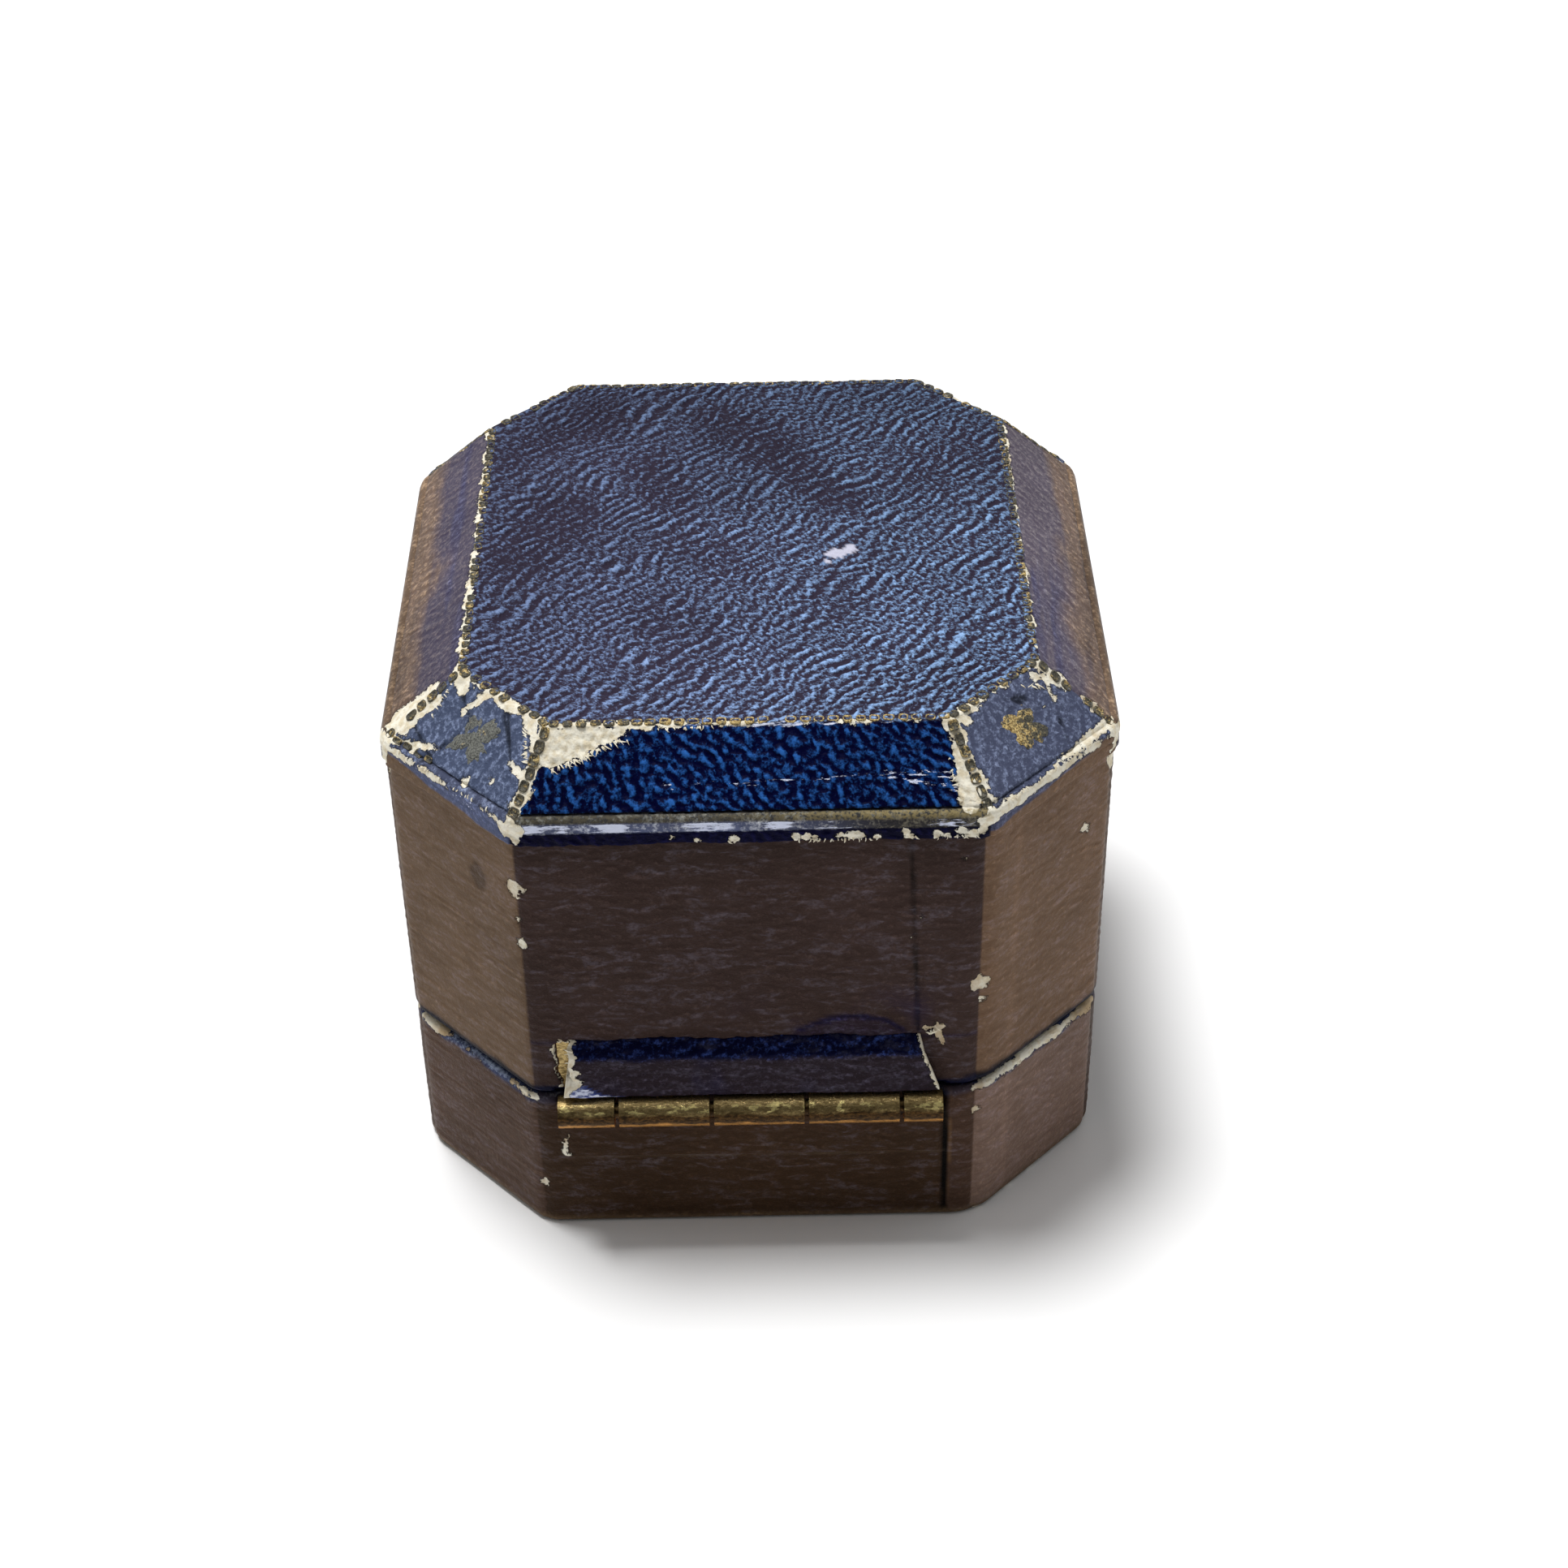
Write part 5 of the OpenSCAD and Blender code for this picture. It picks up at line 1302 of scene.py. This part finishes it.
def cushion(name, node, body, material, voxel, pressure, cap, shrink, pin_side, shape=None):
    """A stuffed piece in the space of a CAD node, swollen by cloth simulation at WORK times its size."""
    lo, hi = corners_mm(node)
    centre, unit = (lo + hi) / 2, MM * WORK
    mesh = frame["nodes"][node].data.copy()
    piece = bpy.data.objects.new(name, mesh)
    bpy.context.scene.collection.objects.link(piece)
    mesh.vertices.foreach_set("co", ((points_mm(node) - centre) * shrink * unit).ravel())
    remesh = piece.modifiers.new("remesh", "REMESH")
    remesh.mode, remesh.voxel_size, remesh.use_smooth_shade = "VOXEL", voxel * unit, True
    graph = bpy.context.evaluated_depsgraph_get()
    piece.data = bpy.data.meshes.new_from_object(piece.evaluated_get(graph))
    piece.modifiers.clear()
    count = len(piece.data.vertices)
    rest = np.zeros(count * 3)
    piece.data.vertices.foreach_get("co", rest)
    rest = rest.reshape(-1, 3)
    half = (hi - lo) / 2 * unit
    pins = piece.vertex_groups.new(name="pin")
    held = np.nonzero(rest[:, 2] * pin_side > half[2] * shrink[2] * 0.8)[0]
    pins.add(held.tolist(), 1.0, "REPLACE")
    cloth = piece.modifiers.new("cloth", "CLOTH")
    cloth.settings.vertex_group_mass = "pin"
    cloth.settings.use_pressure, cloth.settings.uniform_pressure_force = True, pressure
    cloth.settings.effector_weights.gravity = 0
    cloth.settings.tension_stiffness = cloth.settings.compression_stiffness = 12
    cloth.settings.bending_stiffness = 0.6
    cloth.settings.quality = 6
    scene = bpy.context.scene
    scene.frame_start, scene.frame_end = 1, 20
    for step_no in range(1, 21):
        scene.frame_set(step_no)
    graph = bpy.context.evaluated_depsgraph_get()
    swollen = piece.evaluated_get(graph).to_mesh()
    now = np.zeros(count * 3)
    swollen.vertices.foreach_get("co", now)
    piece.modifiers.clear()
    scene.frame_set(1)
    move = now.reshape(-1, 3) - rest
    far = np.linalg.norm(move, axis=1, keepdims=True)
    rest = rest + move * np.minimum(1, cap * unit / np.maximum(far, 1e-9))
    p = rest / unit
    if shape:
        p = shape(p)
    piece.data.vertices.foreach_set("co", ((p + centre) * MM).ravel())
    smoother = piece.modifiers.new("smooth", "SUBSURF")
    smoother.levels = smoother.render_levels = 1
    graph = bpy.context.evaluated_depsgraph_get()
    piece.data = bpy.data.meshes.new_from_object(piece.evaluated_get(graph))
    piece.modifiers.clear()
    piece.data.materials.clear()
    piece.data.materials.append(material)
    piece.data.polygons.foreach_set("use_smooth", [True] * len(piece.data.polygons))
    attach(piece, body)
    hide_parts(node)
    return piece


def crowned(amount, half_w, half_d):
    def shape(p):
        dome = (1 - (p[:, 0] / half_w) ** 2).clip(0) * (1 - (p[:, 1] / half_d) ** 2).clip(0)
        top = step(p[:, 2], 0, 3)
        p = p.copy()
        p[:, 2] += amount * (dome - 0.35) * top + 0.10 * rough3(p + 50, 4.0, 601) * top
        return p
    return shape


def gathered(p):
    """The satin bellies downwards and puckers where it is drawn in round its edge."""
    p = p.copy()
    r = np.maximum(abs(p[:, 0]) / 18.5, abs(p[:, 1]) / 19.5)
    under = step(p[:, 2], 0.6, -1.0)
    turn = np.arctan2(p[:, 1], p[:, 0])
    folds = np.sin(turn * 38 + 2.6 * np.sin(turn * 5)) + 0.6 * np.sin(turn * 23 + 1.3) + 0.3 * np.sin(turn * 71)
    p[:, 2] += under * (1.1 * step(r, 0.5, 1.0) + 0.34 * folds * step(r, 0.35, 0.9) * step(r, 1.04, 0.96))
    p[:, 2] += under * 0.25 * rough3(p + 70, 6.0, 611)
    return p


pad_size = (corners_mm("ring_pad_front")[1] - corners_mm("ring_pad_front")[0]) / 2
for end in ("front", "rear"):
    cushion("velvet_ring_pad_" + end, "ring_pad_" + end, "base", VELVET, 0.75, 4.0, 0.45,
            np.array([0.975, 0.965, 0.96]), -1, crowned(0.8, pad_size[0], pad_size[1]))
cushion("gathered_satin_pad", "lid_satin_pad", "lid", SATIN, 0.5, 4.0, 0.8,
        np.array([0.995, 0.995, 0.8]), 1, gathered)


def lining_band(name, node, inner_in, outer_in, material, slot, body, ease, wave, notch=None):
    """A covered board standing round the walls, with rounded edges and perhaps a notch in front for the catch."""
    lo, hi = corners_mm(node)
    rows = []
    z0, z1 = lo[2], hi[2]
    for z in np.linspace(z1 - ease, z0 + 0.2, 30):
        rows.append((inset(SIDES, inner_in), z))
    rows += [(inset(SIDES, inner_in - 0.05), z0), (inset(SIDES, outer_in + 0.05), z0)]
    for z in (z0 + 0.2, z1 - ease):
        rows.append((inset(SIDES, outer_in), z))
    middle, reach = (inner_in + outer_in) / 2, (inner_in - outer_in) / 2
    for turn in np.linspace(0, math.pi, 9)[1:-1]:
        rows.append((inset(SIDES, middle - reach * math.cos(turn)), z1 - ease + ease * math.sin(turn)))
    co, side, along = ring(rows, [40, 20, 36, 20, 40, 20, 36, 20])
    co = soften(co, 2)
    p = co.reshape(-1, 3)
    quads = grid_quads(len(rows), co.shape[1], closed_rows=True)[:, ::-1]
    way, ripple = normals(p, quads), wave * rough3(p, 3.0, 621)
    if notch:
        half, top = notch
        front, from_side = p[:, 1] < -15, abs(p[:, 0]) - half
        near = front & (abs(from_side - 0.1) < 0.5)
        inside = front & (from_side < 0)
        p[near, 0] = np.sign(p[near, 0]) * (half + np.where(from_side[near] < 0, 0.0, 0.04))
        p[inside, 2] = np.maximum(p[inside, 2], top)
    p = p + way * ripple[:, None]
    make_object(name, p, quads, material, body, slot, [node])


lining_band("velvet_collar", "base_collar", 4.9, 4.0, VELVET, "velvet", "base", 0.35, 0.03)
lining_band("silk_lid_lining", "lid_wall_lining", 3.6, 3.2, SATIN, "satin", "lid", 0.15, 0.02, (2.97, 14.6))


# ---------------------------------------------------------------- floor and light

def make_stage():
    floor_mesh = bpy.data.meshes.new("floor")
    size = 3.0
    floor_mesh.from_pydata([(-size, -size, 0), (size, -size, 0), (size, size, 0), (-size, size, 0)], [], [(0, 1, 2, 3)])
    floor = bpy.data.objects.new("floor", floor_mesh)
    bpy.context.scene.collection.objects.link(floor)
    n = Nodes("floor")
    tone = n.mix(n.noise(0.02, 2), (0.93, 0.93, 0.93), (0.95, 0.95, 0.95))
    floor_mesh.materials.append(n.shade(base_color=tone, roughness=0.9))
    n.shader.inputs["Specular IOR Level"].default_value = 0.0

    world = bpy.data.worlds.new("studio")
    world.use_nodes = True
    tree = world.node_tree
    # a pale studio that is darker on the hinge side, where the photographer stands
    where = tree.nodes.new("ShaderNodeSeparateXYZ")
    tree.links.new(tree.nodes.new("ShaderNodeTexCoord").outputs["Generated"], where.inputs[0])
    fade = tree.nodes.new("ShaderNodeMapRange")
    fade.interpolation_type = "SMOOTHSTEP"
    tree.links.new(where.outputs["Y"], fade.inputs[0])
    for i, v in enumerate((0.15, 0.72, 1.0, 0.16)):
        fade.inputs[i + 1].default_value = v
    tree.links.new(fade.outputs[0], tree.nodes["Background"].inputs["Color"])
    tree.nodes["Background"].inputs["Strength"].default_value = 0.48
    bpy.context.scene.world = world

    key = bpy.data.lights.new("key", "SUN")
    key.energy, key.angle = 2.75, math.radians(16)
    lamp = bpy.data.objects.new("key", key)
    lamp.rotation_mode = "QUATERNION"
    lamp.rotation_quaternion = Vector((0.17, -0.16, 1)).to_track_quat("Z", "Y")
    bpy.context.scene.collection.objects.link(lamp)
    scene = bpy.context.scene
    scene.view_settings.view_transform = "Standard"
    scene.view_settings.look = "None"


make_stage()
